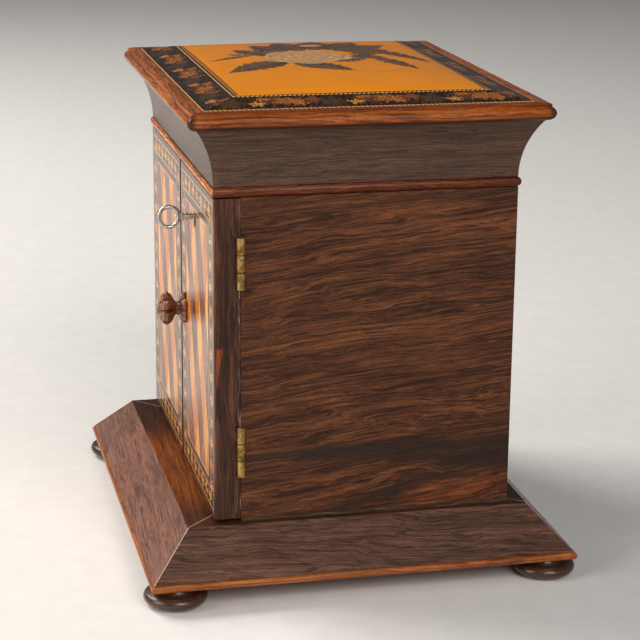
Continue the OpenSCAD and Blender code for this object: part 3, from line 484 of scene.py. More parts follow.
edge_low, edge_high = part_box("lid_edge")
lid_x, lid_half_y = edge_high.x, edge_high.y - y_mid
lid_top = edge_high.z
edge_w = 10 * MM
band_low, band_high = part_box("lid_band")
band_w = 23 * MM
band_z = band_high.z
panel_low, panel_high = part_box("lid_panel")
nose_r = 4.2 * MM
thumb_section = np.concatenate([
    [(-edge_w, edge_low.z + 0.05 * MM)],
    arc(-nose_r, edge_low.z + 0.05 * MM + nose_r, nose_r, -90, 62, 16),
    arc(-2.75 * MM, lid_top - 1.0 * MM, 0.5 * MM, 0, 60, 3),
    arc(-4.2 * MM, lid_top - 0.9 * MM, 0.9 * MM, 60, 100, 4),
    [(-edge_w, lid_top)],
])


def worn_corners_and_nose_shade(f, along, across, colour):
    """Light front and back runs; at the sides a redder top strip over the orange nose.

    The underside of the nose is darkened as painted shade, and the rounded corners are dark with
    wear.
    """
    x, y, z = f.split(f.coordinates("Object"))
    to_x = f.minus(lid_x, f.math("ABSOLUTE", x))
    to_y = f.minus(lid_half_y, f.math("ABSOLUTE", f.minus(y, y_mid)))
    on_side = f.math("LESS_THAN", to_x, to_y)
    strip = f.times(on_side, f.step(z, lid_top - 1.9 * MM, lid_top - 1.4 * MM))
    colour = f.mix(strip, colour, f.tint(colour, (0.62, 0.5, 0.48)))
    # painted shade under the nose of the thumb moulding
    under = f.rest(f.step(z, edge_low.z + 1.6 * MM, edge_low.z + 3.2 * MM))
    corner = f.rest(f.step(f.math("MAXIMUM", to_x, to_y), 2.5 * MM, 6 * MM))
    # dark holds both the painted shade under the nose and the worn corners
    dark = f.times(f.math("MAXIMUM", under, corner), 0.86)
    return f.mix(dark, colour, (0.03, 0.015, 0.01))


lid_edge_wood = wood("lid_edge_rosewood", [(0.075, 0.017, 0.004), (0.27, 0.066, 0.011),
                                           (0.52, 0.16, 0.026)], "map", 520, 17.0, 0.16, 0.12,
                     0.95, figure=worn_corners_and_nose_shade)
lid_edge = carried("thumb_moulding", thumb_section, lid_x, lid_half_y, y_mid, 2.4 * MM)
fit(lid_edge, lid_edge_wood, "lid", "red_rosewood", "lid_edge")
dress("lid_board", cedar)


def paint(piece, colours):
    """Stores one colour (r, g, b, share of mosaic) for each face of a piece as "tesserae"."""
    counts = np.array([len(p.vertices) for p in piece.data.polygons])
    layer = piece.data.color_attributes.new("tesserae", "FLOAT_COLOR", "CORNER")
    layer.data.foreach_set("color", np.repeat(colours, counts, axis=0).astype(np.float32).ravel())


def shades(index, palette, rng, vary=0.3):
    """Colours from palette numbers, each tessera a little lighter or darker than the next."""
    colours = np.array(palette)[index]
    return colours * (1 + vary * (rng.random(index.shape) - 0.5))[:, None]


def leaf(x, y, root, tip, width, notches=7):
    """0 outside a pointed leaf, 1 on its midrib and side veins, 2 or 3 on its two halves.

    With t along the leaf from 0 to 1 and s across it, the edge is at
    width / 2 * sin(pi * t ** 0.8), cut back by a saw tooth.
    """
    root, tip = np.array(root), np.array(tip)
    length = np.hypot(*(tip - root))
    way = (tip - root) / length
    t = ((x - root[0]) * way[0] + (y - root[1]) * way[1]) / length
    s = (y - root[1]) * way[0] - (x - root[0]) * way[1]
    inside = (t > 0) & (t < 1)
    t = np.clip(t, 0, 1)
    saw = 1 - 0.28 * ((t * notches) % 1)
    inside &= np.abs(s) < width / 2 * np.sin(np.pi * t ** 0.8) * saw
    vein = (np.abs(s) < 0.5 * MM) | (((t * notches * 2 + np.abs(s) / width * 3) % 1) < 0.3)
    return np.where(inside, np.where(vein, 1, np.where(s > 0, 2, 3)), 0)


def rose(x, y, centre, r):
    """0 outside a full rose, 4 to 6 on its petals, 7 on the lines between them.

    The outline is r * (1 + 0.07 * cos(5 * angle)); the petals are turns of a spiral whose
    distance grows by a quarter of r, scalloped five times a turn.
    """
    dx, dy = x - centre[0], y - centre[1]
    far, angle = np.hypot(dx, dy) / r, np.arctan2(dy, dx)
    turn = far * 4.2 + 0.22 * np.cos(5 * angle + far * 7) + angle / (2 * np.pi)
    line = (turn % 1) < 0.16
    tone = np.where((np.floor(turn + angle * 1.6) % 2) == 0, 5, 4)
    tone = np.where(((turn % 1) > 0.75), 6, tone)
    inside = far < 1 + 0.07 * np.cos(5 * angle)
    return np.where(inside, np.where(line, 7, tone), 0)


def laid_over(below, above):
    return np.where(above > 0, above, below)


SPRAY = [(0.55, 0.25, 0.06), (0.2, 0.1, 0.046), (0.036, 0.018, 0.011), (0.075, 0.036, 0.02),
         (0.52, 0.29, 0.12), (0.6, 0.36, 0.16), (0.46, 0.245, 0.095), (0.36, 0.18, 0.07)]
# Leaves as root, tip and width, in millimetres from the middle of the panel: x is across
# the lid towards the right side, y is along it towards the back.
SPRAY_LEAVES = [
    ((2, -24), (34, -68), 30), ((-18, -26), (-59, -49), 22), ((-28, -40), (-17, -72), 9),
    ((-30, -46), (-40, -56), 7), ((-36, -16), (-78, -34), 26), ((-38, -6), (-92, -14), 28),
    ((-40, 4), (-96, 14), 32), ((-40, 12), (-88, 40), 32), ((-34, 16), (-70, 58), 28),
    ((-30, 20), (-44, 56), 22), ((-44, 40), (10, 71), 17), ((-8, 18), (-6, 44), 20),
    ((-8, 34), (43, 53), 16), ((10, -22), (48, 10), 24), ((10, 2), (2, 28), 20),
    ((-20, 22), (-24, 46), 16),
]


def draw_spray(x, y):
    """Palette number of each tessera of the centre panel; 0 is bare satinwood."""
    picture = np.zeros(x.shape, int)
    for root, tip, width in SPRAY_LEAVES:
        picture = laid_over(picture, leaf(x, y, np.array(root) * MM, np.array(tip) * MM,
                                          width * MM))
    picture = laid_over(picture, rose(x, y, np.array((-66, 6)) * MM, 7 * MM))
    return laid_over(picture, rose(x, y, np.array((-11, -9)) * MM, 28 * MM))


TESSERA = 0.8 * MM
panel_x, panel_half_y = panel_high.x, panel_high.y - y_mid
crown = panel_high.z - band_z
xs = np.linspace(-panel_x, panel_x, int(2 * panel_x / TESSERA) + 1)
ys = np.linspace(-panel_half_y, panel_half_y, int(2 * panel_half_y / TESSERA) + 1)


def pillow(x, y):
    """Height of the panel over its edge: (1 - (x/a)^2) * (1 - (y/b)^2) to the 0.55, times crown."""
    hump = (1 - (x / panel_x) ** 2) * (1 - (y / panel_half_y) ** 2)
    return crown * np.clip(hump, 0, 1) ** 0.55


def crowned_slab(name, xs, ys, height, low, top, middle):
    """A slab whose top is the height over a grid, with upright sides and a flat bottom."""
    gx, gy = np.meshgrid(xs, ys, indexing="ij")
    top_points = np.stack([gx, gy + middle, top + height(gx, gy)], 2).reshape(-1, 3)
    nx, ny = len(xs), len(ys)
    i, j = np.meshgrid(np.arange(nx - 1), np.arange(ny - 1), indexing="ij")
    a = (i * ny + j).ravel()
    quads = np.stack([a, a + ny, a + ny + 1, a + 1], 1)
    rim = np.concatenate([np.arange(nx) * ny, (nx - 1) * ny + np.arange(1, ny),
                          (np.arange(nx - 2, -1, -1)) * ny + ny - 1, np.arange(ny - 2, 0, -1)])
    bottom = top_points[rim] * (1, 1, 0) + (0, 0, low)
    b = nx * ny + np.arange(len(rim))
    skirt = np.stack([rim, b, np.roll(b, -1), np.roll(rim, -1)], 1)
    points = np.concatenate([top_points, bottom])
    faces = quads.tolist() + skirt.tolist() + [b[::-1].tolist()]
    return surface(name, points, faces)


panel = crowned_slab("satinwood_panel", xs, ys, pillow, panel_low.z, band_z, y_mid)
cell_x, cell_y = np.meshgrid((xs[1:] + xs[:-1]) / 2, (ys[1:] + ys[:-1]) / 2, indexing="ij")
spray_rng = np.random.default_rng(41)
frayed = spray_rng.uniform(-1.1 * MM, 1.1 * MM, (2, cell_x.size))
picture = draw_spray(cell_x.ravel() + frayed[0], cell_y.ravel() + frayed[1])
spray_colours = np.zeros((len(panel.data.polygons), 4))
spray_colours[:len(picture), :3] = shades(picture, SPRAY, spray_rng, 0.5)
spray_colours[:len(picture), 3] = picture > 0
paint(panel, spray_colours)


def mosaic(name, ground=None, shine=0.16, lines=None):
    """Polished mosaic: the tesserae's own colours, over satinwood where there are none."""
    f = Finish(name)
    tile = f.tree.nodes.new("ShaderNodeAttribute")
    tile.attribute_name = "tesserae"
    place = f.coordinates("Object")
    fine = f.noise(place, (900, 900, 300), 2.0)
    colour = f.mix(0.3, tile.outputs["Color"], f.ramp(fine, [(0.3, (0.3, 0.3, 0.3)),
                                                              (0.7, (1.5, 1.5, 1.5))]), "MULTIPLY")
    if ground is not None:
        streaks = f.noise(place, (420, 16, 30), 4.0, 0.6)
        glow = f.noise(place, (26, 40, 30), 3.0)
        veneer = f.ramp(streaks, [(0.3, ground[0]), (0.7, ground[1])])
        veneer = f.mix(f.spread(glow, 0.0, 0.45), veneer, ground[2])
        colour = f.mix(tile.outputs["Alpha"], veneer, colour)
    if lines is not None:
        colour = lines(f, place, colour)
    return f.polish(colour, f.spread(f.noise(place, (90, 90, 90)), shine, shine + 0.1), fine,
                    0.015 * MM, Specular_IOR_Level=0.12, Coat_Weight=0.05, Coat_Roughness=0.08)


BOXWOOD, BLACK = (0.66, 0.35, 0.12), (0.012, 0.007, 0.005)


def from_edge(f, place, edge_x, edge_y):
    """Distance inwards from a rectangle, 1 where its left or right side is nearer, and y."""
    x, y, _ = f.split(place)
    to_x = f.minus(edge_x, f.math("ABSOLUTE", x))
    to_y = f.minus(edge_y, f.math("ABSOLUTE", f.minus(y, y_mid)))
    return f.math("MINIMUM", to_x, to_y), f.math("LESS_THAN", to_x, to_y), y


def panel_border(f, place, colour):
    """Round the panel, a black line, then a strip of brown on the front and back only."""
    e, on_side, _ = from_edge(f, place, panel_x, panel_half_y)
    black = f.rest(f.step(e, 0.4 * MM, 0.6 * MM))
    strip = f.times(f.between(e, 0.6 * MM, 2.1 * MM, 0.1 * MM),
                    f.rest(on_side))
    colour = f.mix(strip, colour, (0.26, 0.1, 0.022))
    thin = f.times(f.between(e, 2.1 * MM, 2.5 * MM, 0.1 * MM),
                   f.rest(on_side))
    colour = f.mix(thin, colour, BLACK)
    return f.mix(black, colour, BLACK)


satinwood = mosaic("satinwood_and_mosaic", [(0.64, 0.195, 0.0003), (0.76, 0.26, 0.0008),
                                            (0.7, 0.225, 0.0004)], lines=panel_border)
fit(panel, satinwood, "lid", "satinwood", "lid_panel")

BAND = [(0.009, 0.006, 0.004), (0.022, 0.011, 0.006), (0.05, 0.022, 0.01), (0.11, 0.035, 0.009),
        (0.24, 0.075, 0.014), (0.42, 0.15, 0.024), (0.56, 0.26, 0.05), (0.66, 0.4, 0.13),
        (0.06, 0.042, 0.022)]
MOTIF = 60 * MM
# Clusters of a motif: middle and size in millimetres, lobes, turn and three palette numbers.
CLUSTERS = [
    ((-24, 1), (9, 8), 5, 0.4, (8, 2, 2)), ((2, -2), (13, 6.5), 7, 1.1, (3, 3, 2)),
    ((10, -1.5), (9.5, 6), 6, 2.2, (4, 3, 5)), ((17, 2), (5, 4.5), 5, 0.0, (4, 5, 3)),
    ((-9, 2.4), (5, 3.4), 5, 1.5, (6, 5, 4)), ((26, -3), (6, 5), 4, 0.3, (3, 4, 3)),
    ((-4, -5), (5, 3), 3, 0.0, (4, 5, 3)),
]


def tuft(x, y, centre, size, lobes, turn=0.0):
    """Chance from 0 to 1 of a tessera belonging to a ragged flower or leaf cluster.

    far is the distance in units of size, stretched by 1 + 0.22 * cos(lobes * angle + turn),
    and the chance is 1.25 - far ** 2.
    """
    dx, dy = x - centre[0] * MM, y - centre[1] * MM
    angle = np.arctan2(dy, dx)
    far = np.hypot(dx / (size[0] * MM), dy / (size[1] * MM))
    far = far / (1 + 0.22 * np.cos(lobes * angle + turn))
    return 1.25 - far ** 2


def garland(u, v, rng):
    """Palette number of each tessera of the band, u along it and v outwards from its middle.

    Every 60 mm there is a spray of orange foliage, a small yellow flower and dull green
    leaves, on a ground of black that is flecked with browns.
    """
    chance = rng.random(u.shape)
    picture = np.where(chance < 0.34, 1, 0) + np.where(chance < 0.13, 1, 0)
    picture = picture + np.where(chance < 0.04, 2, 0)
    phase = (u / MOTIF + 0.5) % 1 - 0.5
    for centre, size, lobes, turn, tones in CLUSTERS:
        share = tuft(phase * MOTIF, v, centre, size, lobes, turn)
        hit = rng.random(u.shape) < share
        pick = np.array(tones)[rng.integers(0, 3, u.shape)]
        picture = np.where(hit, pick, picture)
    return picture


def stringing(f, place, colour):
    """Both edges of the band: a plain light line in front and behind, a rope at the sides.

    Where r = fract((y + distance) / 2.8 mm) is under 0.55 the rope is light.
    """
    e, on_side, y = from_edge(f, place, band_outer_x, band_outer_y)
    for near, way in ((0.0, 1.0), (band_w - 1.7 * MM, -1.0)):
        rope = f.between(e, near + 0.1 * MM, near + 1.7 * MM, 0.1 * MM)
        slant = f.plus(y, f.times(e, way))
        ticks = f.math("LESS_THAN", f.math("FRACT", f.math("DIVIDE", slant, 2.8 * MM)), 0.55)
        twisted = f.mix(ticks, (0.05, 0.02, 0.012), BOXWOOD)
        line = f.between(e, near + 0.45 * MM, near + 1.15 * MM, 0.08 * MM)
        plain = f.mix(line, BLACK, BOXWOOD)
        colour = f.mix(f.times(rope, on_side), colour, twisted)
        colour = f.mix(f.times(rope, f.rest(on_side)), colour, plain)
    return colour


def band_ring(name, outer_x, outer_y, width, low, top, rise, middle, across, along):
    """A flat ring round a rectangle, rising inwards, as one closed strip of small faces."""
    inward = np.linspace(0, width, across + 1)
    offsets = np.concatenate([-inward, [-width, 0]])
    heights = np.concatenate([top + rise * inward / width, [low, low]])
    step = np.linspace(-1, 1, along + 1)[:-1]
    one = np.ones(along)
    cx = np.concatenate([one, -step, -one, step])
    cy = np.concatenate([step, one, -step, -one])
    x = cx * (outer_x + offsets[:, None])
    y = cy * (outer_y + offsets[:, None])
    rings = np.stack([x, y + middle, heights[:, None] + 0 * x], 2)
    faces, uv = skin(rings, closed=True)
    return surface(name, rings, faces, uv), rings


band_outer_x, band_outer_y = lid_x - edge_w, lid_half_y - edge_w
across_count = int(band_w / TESSERA)
along_count = int(2 * band_outer_x / TESSERA)
band, band_rings = band_ring("mosaic_band", band_outer_x, band_outer_y, band_w, band_low.z,
                             lid_top, band_z - lid_top, y_mid, across_count, along_count)
centres = (band_rings + np.roll(band_rings, -1, 0)) / 2
centres = ((centres + np.roll(centres, -1, 1)) / 2).reshape(-1, 3) - (0, y_mid, 0)
out_x, out_y = band_outer_x - np.abs(centres[:, 0]), band_outer_y - np.abs(centres[:, 1])
on_side = out_x < out_y
band_u = np.where(on_side, centres[:, 1] - 2 * MM, centres[:, 0] + 6 * MM)
band_v = band_w / 2 - np.minimum(out_x, out_y)
band_rng = np.random.default_rng(7)
band_colours = np.ones((len(centres), 4))
band_colours[:, :3] = shades(garland(band_u, band_v, band_rng), BAND, band_rng)
paint(band, band_colours)
fit(band, mosaic("band_mosaic", lines=stringing), "lid", "wood_mosaic", "lid_band")

# ---------------------------------------------------------------------------
# Doors: dark rosewood boards lipped round the edges, faced with parquetry. Inside a plain
# strip, a line, a mosaic band, a line, a dark strip and a line lie tall lozenges.

door_tones = [(0.016, 0.007, 0.004), (0.055, 0.021, 0.0115), (0.14, 0.052, 0.026)]
y_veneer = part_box("door_right_face")[1].y


def door_figure(f, along, across, colour):
    """A wedge of red sapwood low on the edge, pale scratches at its back, a dark glue line.

    The wedge is where the distance behind the face is under 0.15 * (height - 117 mm), up to
    154 mm.
    """
    x, y, z = f.split(f.coordinates("Object"))
    edge = f.step(f.math("ABSOLUTE", x), half_x - 0.6 * MM, half_x - 0.2 * MM)
    limit = f.times(f.minus(z, 117 * MM), 0.15)
    inside = f.step(f.minus(limit, f.minus(y, y_face)), 0.0, 0.5 * MM)
    wedge = f.times(inside, f.rest(f.step(z, 153 * MM, 155 * MM)))
    colour = f.mix(f.times(f.times(wedge, edge), 0.8), colour,
                   f.tint(colour, (5.0, 2.6, 1.6)))
    rub = f.noise(f.coordinates("Object"), (900, 900, 70), 4.0, 0.7)
    worn = f.times(f.step(rub, 0.53, 0.6),
                   f.step(y, y_joint - 2.2 * MM, y_joint - 0.7 * MM))
    colour = f.mix(f.times(f.times(worn, edge), 0.55), colour,
                   (0.5, 0.42, 0.36))
    glue = f.between(y, y_veneer - 0.3 * MM, y_veneer + 0.25 * MM, 0.1 * MM)
    return f.mix(f.times(glue, 0.7), colour, (0.006, 0.004, 0.003))


door_wood = wood("door_rosewood", door_tones, "z", 560, 21.0, 0.28, 0.15, 1.1, figure=door_figure)
dress("door_left", door_wood)
dress("door_right", door_wood)


# Distances from the edge of a door, in millimetres: where lines start, the band, the field.
FACE_LINES = (4.2, 15.2, 20.6)
FACE_BAND = (4.6, 15.4)
FACE_FIELD = 21.0
LOZENGE_W, LOZENGE_H = 20 * MM, 54 * MM


def parquetry(name, low, high):
    """The face of a door between its lowest and highest corner.

    e is the distance to the nearest edge. Lines of boxwood lie at three values of e, with
    mosaic between the first two, and the meeting edge is a black line. Inside,
    a = x / w + z / h and b = x / w - z / h count lozenges w wide and h high, and
    (a + 2b) mod 4 picks one of four woods.
    """
    f = Finish(name)
    place = f.coordinates("Object")
    x, y, z = f.split(place)
    to_x = f.math("MINIMUM", f.minus(x, low.x), f.minus(high.x, x))
    to_z = f.math("MINIMUM", f.minus(z, low.z), f.minus(high.z, z))
    e = f.math("MINIMUM", to_x, to_z)
    upright = f.math("LESS_THAN", to_x, to_z)

    x_share = f.math("DIVIDE", f.minus(x, (low.x + high.x) / 2), LOZENGE_W)
    z_share = f.math("DIVIDE", f.minus(z, (low.z + high.z) / 2), LOZENGE_H)
    a, b = f.plus(x_share, z_share), f.minus(x_share, z_share)
    a_whole, b_whole = f.math("FLOOR", a), f.math("FLOOR", b)
    pick = f.plus(a_whole, f.times(b_whole, 2.0))
    pick = f.math("DIVIDE", f.math("FLOORED_MODULO", pick, 4.0), 4.0)
    woods = f.ramp(f.plus(pick, 0.125), [
        (0.0, (0.72, 0.32, 0.07)), (0.25, (0.16, 0.06, 0.03)), (0.5, (0.6, 0.2, 0.035)),
        (0.75, (0.24, 0.12, 0.095))], "CONSTANT")
    chance = f.node("TexWhiteNoise", {"Vector": f.join(a_whole, b_whole, 0.0)})
    woods = f.mix(1.0, woods, f.ramp(chance, [(0.0, (0.72, 0.7, 0.66)), (1.0, (1.2, 1.18, 1.1))]),
                  "MULTIPLY")
    a_part, b_part = f.math("FRACT", a), f.math("FRACT", b)
    fibre = f.noise(f.join(x, f.times(chance, 3.0), z), (1400, 1, 60), 4.0, 0.6)
    woods = f.mix(0.5, woods, f.ramp(fibre, [(0.3, (0.55, 0.5, 0.45)), (0.7, (1.35, 1.35, 1.3))]),
                  "MULTIPLY")
    nearest = f.math("MINIMUM", f.math("PINGPONG", a_part, 0.5), f.math("PINGPONG", b_part, 0.5))
    joint = f.rest(f.step(nearest, 0.006, 0.02))
    field = f.mix(f.times(joint, 0.75), woods, (0.035, 0.018, 0.012))

    along = f.plus(f.times(z, upright),
                   f.times(x, f.rest(upright)))
    side = f.minus(e, sum(FACE_BAND) / 2 * MM)
    tile = 1.0 * MM
    u_tile = f.math("FLOOR", f.math("DIVIDE", along, tile))
    v_tile = f.math("FLOOR", f.math("DIVIDE", side, tile))
    u_mid, v_mid = f.times(u_tile, tile), f.times(v_tile, tile)
    reach = f.math("PINGPONG", u_mid, 7.0 * MM)
    diamond = f.minus(reach, f.math("ABSOLUTE", v_mid))
    luck = f.node("TexWhiteNoise", {"Vector": f.join(u_tile, v_tile, upright)})
    tone = f.plus(f.times(diamond, 60.0), f.times(luck, 0.5))
    band_colour = f.ramp(tone, [(0.1, (0.022, 0.012, 0.009)), (0.26, (0.12, 0.045, 0.018)),
                                (0.42, (0.5, 0.2, 0.045)), (0.62, (0.8, 0.42, 0.12)),
                                (0.8, (0.1, 0.04, 0.02))], "CONSTANT")

    grain_u = f.noise(place, (260, 260, 24), 5.0, 0.62)
    rose = f.ramp(grain_u, [(0.35, (0.03, 0.012, 0.008)), (0.55, (0.11, 0.042, 0.022)),
                            (0.7, (0.2, 0.085, 0.04))])
    colour = f.mix(f.step(e, (FACE_FIELD - 0.1) * MM, (FACE_FIELD + 0.1) * MM), rose, field)
    colour = f.mix(f.between(e, FACE_BAND[0] * MM, FACE_BAND[1] * MM, 0.08 * MM), colour, band_colour)
    box = f.ramp(f.noise(place, (700, 700, 700), 3.0), [(0.3, (0.45, 0.26, 0.1)),
                                                         (0.7, (0.74, 0.5, 0.24))])
    for line in FACE_LINES:
        colour = f.mix(f.between(e, line * MM, (line + 0.75) * MM, 0.08 * MM), colour, box)
    meeting = f.rest(f.step(f.math("ABSOLUTE", x), 1.8 * MM, 2.4 * MM))
    colour = f.mix(meeting, colour, (0.012, 0.006, 0.004))
    height_map = f.minus(fibre, f.times(joint, 1.5))
    gloss = f.times(f.rest(meeting), 0.3)
    return f.polish(colour, f.spread(grain_u, 0.2, 0.32), height_map, 0.03 * MM,
                    Specular_IOR_Level=gloss, Coat_Weight=0.0)


for side in ("left", "right"):
    node = f"door_{side}_face"
    dress(node, parquetry(f"parquetry_{side}", *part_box(node)))

# ---------------------------------------------------------------------------
# Hinges: drawn brass butts with three knuckles on the doors, broader ones behind the lid,
# brown with age in patches and darker in a line at each knuckle joint, turning on plain pins.


def metal(name, dark, light, shine, tarnish=0.4, fine=900, joints=()):
    """Handled metal: brushing along the piece, brown tarnish in patches, small dents.

    joints are heights at which the colour is darkened in a line 0.7 mm wide.
    """
    f = Finish(name)
    place = f.coordinates("Object")
    brushing = f.noise(place, (fine, fine, fine * 0.1), 3.0, 0.6)
    patches = f.noise(place, (120, 120, 120), 4.0, 0.65)
    colour = f.mix(f.spread(brushing, 0, 1), tuple(dark), tuple(light))
    stain = f.times(f.step(patches, 0.42, 0.62), tarnish)
    for joint in joints:
        line = f.between(f.split(place)[2], joint - 0.35 * MM, joint + 0.35 * MM, 0.12 * MM)
        stain = f.math("MAXIMUM", stain, line)
    colour = f.mix(stain, colour, tuple(c * 0.22 for c in dark))
    rough = f.plus(f.spread(brushing, shine, shine + 0.12), f.times(stain, 0.25))
    dents = f.plus(brushing, f.times(patches, 2.0))
    return f.polish(colour, rough, dents, 0.03 * MM, Metallic=1.0)


old_brass = metal("aged_brass", (0.26, 0.15, 0.045), (0.6, 0.38, 0.13), 0.3, 0.7)
for node in ("lid_hinge_fixed", "lid_hinge_moving"):
    dress(node, old_brass)
hinge_low, hinge_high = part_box("door_hinges_fixed")
hinge_h = 31.5 * MM
hinge_feet = (hinge_low.z, hinge_high.z - hinge_h)
knuckle_joints = [z + k * hinge_h / 3 for z in hinge_feet for k in (1, 2)]
butt_brass = metal("butt_brass", (0.26, 0.15, 0.045), (0.6, 0.38, 0.13), 0.3, 0.75, 420,
                   joints=knuckle_joints)
for node in ("door_hinges_fixed", "door_left_hinges", "door_right_hinges"):
    dress(node, butt_brass)
bright_steel = metal("polished_steel", (0.38, 0.37, 0.36), (0.72, 0.71, 0.7), 0.16, 0.25)
dress("hinge_pins", bright_steel)

# ---------------------------------------------------------------------------
# Door knob: turned and carved in one piece of dark wood, with six pointed lobes round the
# head, a fluted neck and a lobed foot, pegged through the door.

knob_low, knob_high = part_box("door_knob")
knob_x, knob_z = (knob_low.x + knob_high.x) / 2, (knob_low.z + knob_high.z) / 2


def lobed(name, centre, profile, lobes=6, sides=144):
    """A carved knob about an axis along -Y through centre.

    The profile gives distance, radius and depth of carving in millimetres, joined smoothly.
    At angle t the radius is radius * (1 - depth * (1 - abs(cos(lobes * t / 2)) ** 0.7)).
    """
    stations = np.asarray(profile, float) * (MM, MM, 1)
    s = np.linspace(0, len(stations) - 1, 90)
    weight = s % 1
    ease = weight * weight * (3 - 2 * weight)
    first = stations[np.floor(s).astype(int)]
    second = stations[np.minimum(np.floor(s).astype(int) + 1, len(stations) - 1)]
    line = first + (second - first) * np.stack([weight, ease, ease], 1)
    t = np.linspace(0, 2 * np.pi, sides, endpoint=False)
    out, radius, depth = line.T[:, :, None]
    r = radius * (1 - depth * (1 - np.abs(np.cos(lobes * t / 2)) ** 0.7))
    x, y, z = centre
    rings = np.stack([x + r * np.sin(t), y - out + 0 * t, z + r * np.cos(t)], 2)
    faces, uv = skin(rings[::-1])
    return surface(name, rings[::-1], faces, uv, sharp=60)


knob_profile = [(-11, 2.9, 0), (-0.1, 2.9, 0), (0, 9.6, 0.2), (1.4, 10.6, 0.3),
                (3.0, 8.9, 0.34), (4.4, 5.0, 0.18), (6.4, 4.2, 0.12), (7.6, 5.8, 0.2),
                (9.6, 9.5, 0.4), (12.2, 11.0, 0.46), (14.6, 10.2, 0.46), (16.6, 7.2, 0.36),
                (17.5, 4.2, 0.1), (17.8, 3.4, 0), (18.7, 2.8, 0), (19, 0.8, 0)]
knob = lobed("carved_knob", (knob_x, y_face, knob_z), knob_profile)
knob_wood = wood("knob_wood", [(0.03, 0.01, 0.005), (0.16, 0.05, 0.02),
                               (0.42, 0.15, 0.055)], "z", 300, 31.0, 0.14, 0.6)
fit(knob, knob_wood, "right_door", "ebonised_wood", "door_knob")

# ---------------------------------------------------------------------------
# Key and lock: a steel key with a ring bow and a collared shank, a brass lining round the
# keyhole, and a brass box lock that throws a steel bolt up behind the head.

key_low, key_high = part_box("key_bow")
bow_centre = np.array([(key_low.x + key_high.x) / 2, (key_low.y + key_high.y) / 2,
                       (key_low.z + key_high.z) / 2])
bow_r, wire = (key_high.z - key_low.z) / 2, (key_high.x - key_low.x) / 2


def ring_bow(name, centre):
    """The ring of the key: a wire about a circle in the plane of the shank.

    At angle t from the shank the wire is thicker by exp(-(t / 0.55) ** 2), inwards only, so
    that the opening is shaped like a kidney.
    """
    t = np.linspace(0, 2 * np.pi, 96, endpoint=False)
    away = np.minimum(t, 2 * np.pi - t)
    half = wire * (1 + 0.85 * np.exp(-(away / 0.55) ** 2))
    mean = bow_r - half
    q = np.linspace(0, 2 * np.pi, 20, endpoint=False)
    reach = mean[:, None] + half[:, None] * np.cos(q)
    x = np.broadcast_to(wire * np.sin(q), reach.shape)
    rings = np.stack([x, reach * np.cos(t)[:, None], reach * np.sin(t)[:, None]], 2) + centre
    rings = rings[::-1]
    faces, uv = skin(rings, closed=True)
    return surface(name, rings, faces, uv, sharp=60)


bow = ring_bow("key_ring", bow_centre)
fit(bow, bright_steel, "key", "steel", "key_bow")
for node in ("key_shank", "lock_bolt"):
    dress(node, bright_steel)
for node in ("escutcheon", "lock_case", "lock_keep"):
    dress(node, old_brass)

# ---------------------------------------------------------------------------
# Drawers: cedar boxes with rosewood fronts, butted and pinned, each with a small turned
# knob of dark wood.

drawer_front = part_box("drawer_top")[0].y


def veneered_front(f, along, across, colour):
    """Rosewood on the outer face of the front and cedar everywhere else."""
    y = f.split(f.coordinates("Object"))[1]
    streaks = f.noise(f.coordinates("Object"), (14, 60, 240), 5.0, 0.62)
    rose = f.ramp(streaks, [(0.36, side_tones[0]), (0.5, side_tones[1]), (0.66, side_tones[2])])
    return f.mix(f.step(y, drawer_front + 1.4 * MM, drawer_front + 1.5 * MM), rose, colour)


drawer_wood = wood("drawer_cedar", [(0.2, 0.08, 0.035), (0.34, 0.16, 0.075),
                                    (0.45, 0.24, 0.13)], "x", 300, 8.0, 0.36, 0.2, 0.8,
                   figure=veneered_front)
pull_profile = np.array([(1.4, -8.0), (1.4, 0), (3.5, 0.02), (3.6, 0.8), (3.1, 1.4), (2.0, 2.0),
                         (1.9, 2.9), (2.9, 3.3), (4.3, 4.1), (4.95, 5.2), (4.8, 6.2), (4.0, 7.2),
                         (2.6, 7.8), (0.6, 8.0)]) * MM
for level in ("top", "middle", "bottom"):
    dress(f"drawer_{level}", drawer_wood)
    pull_low, pull_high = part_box(f"drawer_{level}_knob")
    pull = turned(f"{level}_drawer_pull", pull_profile,
                  (0, drawer_front, (pull_low.z + pull_high.z) / 2), "-y", 40)
    fit(pull, knob_wood, f"{level}_drawer", "ebonised_wood", f"drawer_{level}_knob")

# ---------------------------------------------------------------------------
# Movement: a brass bedplate with a steel comb, a brass cylinder set with pins, a spring
# barrel and wheels, and a governor with an endless screw and a fly, held by small screws.

cast_brass = metal("cast_brass", (0.62, 0.42, 0.15), (0.85, 0.64, 0.3), 0.3, 0.3, 500)
for node in ("bedplate", "cylinder", "cylinder_wheels", "bearing_brackets", "spring_barrel",
             "barrel_wheel", "governor_cock", "governor_wheels", "comb_base"):
    dress(node, cast_brass)
for node in ("comb", "cylinder_arbor", "barrel_arbor", "winding_lever", "endless_screw",
             "start_lever", "mainspring"):
    dress(node, bright_steel)
blued = metal("blued_steel", (0.03, 0.04, 0.09), (0.07, 0.09, 0.2), 0.22, 0.2)
dress("movement_screws", blued)

drum_low, drum_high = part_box("cylinder")
drum_axis = (drum_low + drum_high) / 2
drum_r = (drum_high.z - drum_low.z) / 2
comb_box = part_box("comb")
pin_count, pin_sides = 620, 5


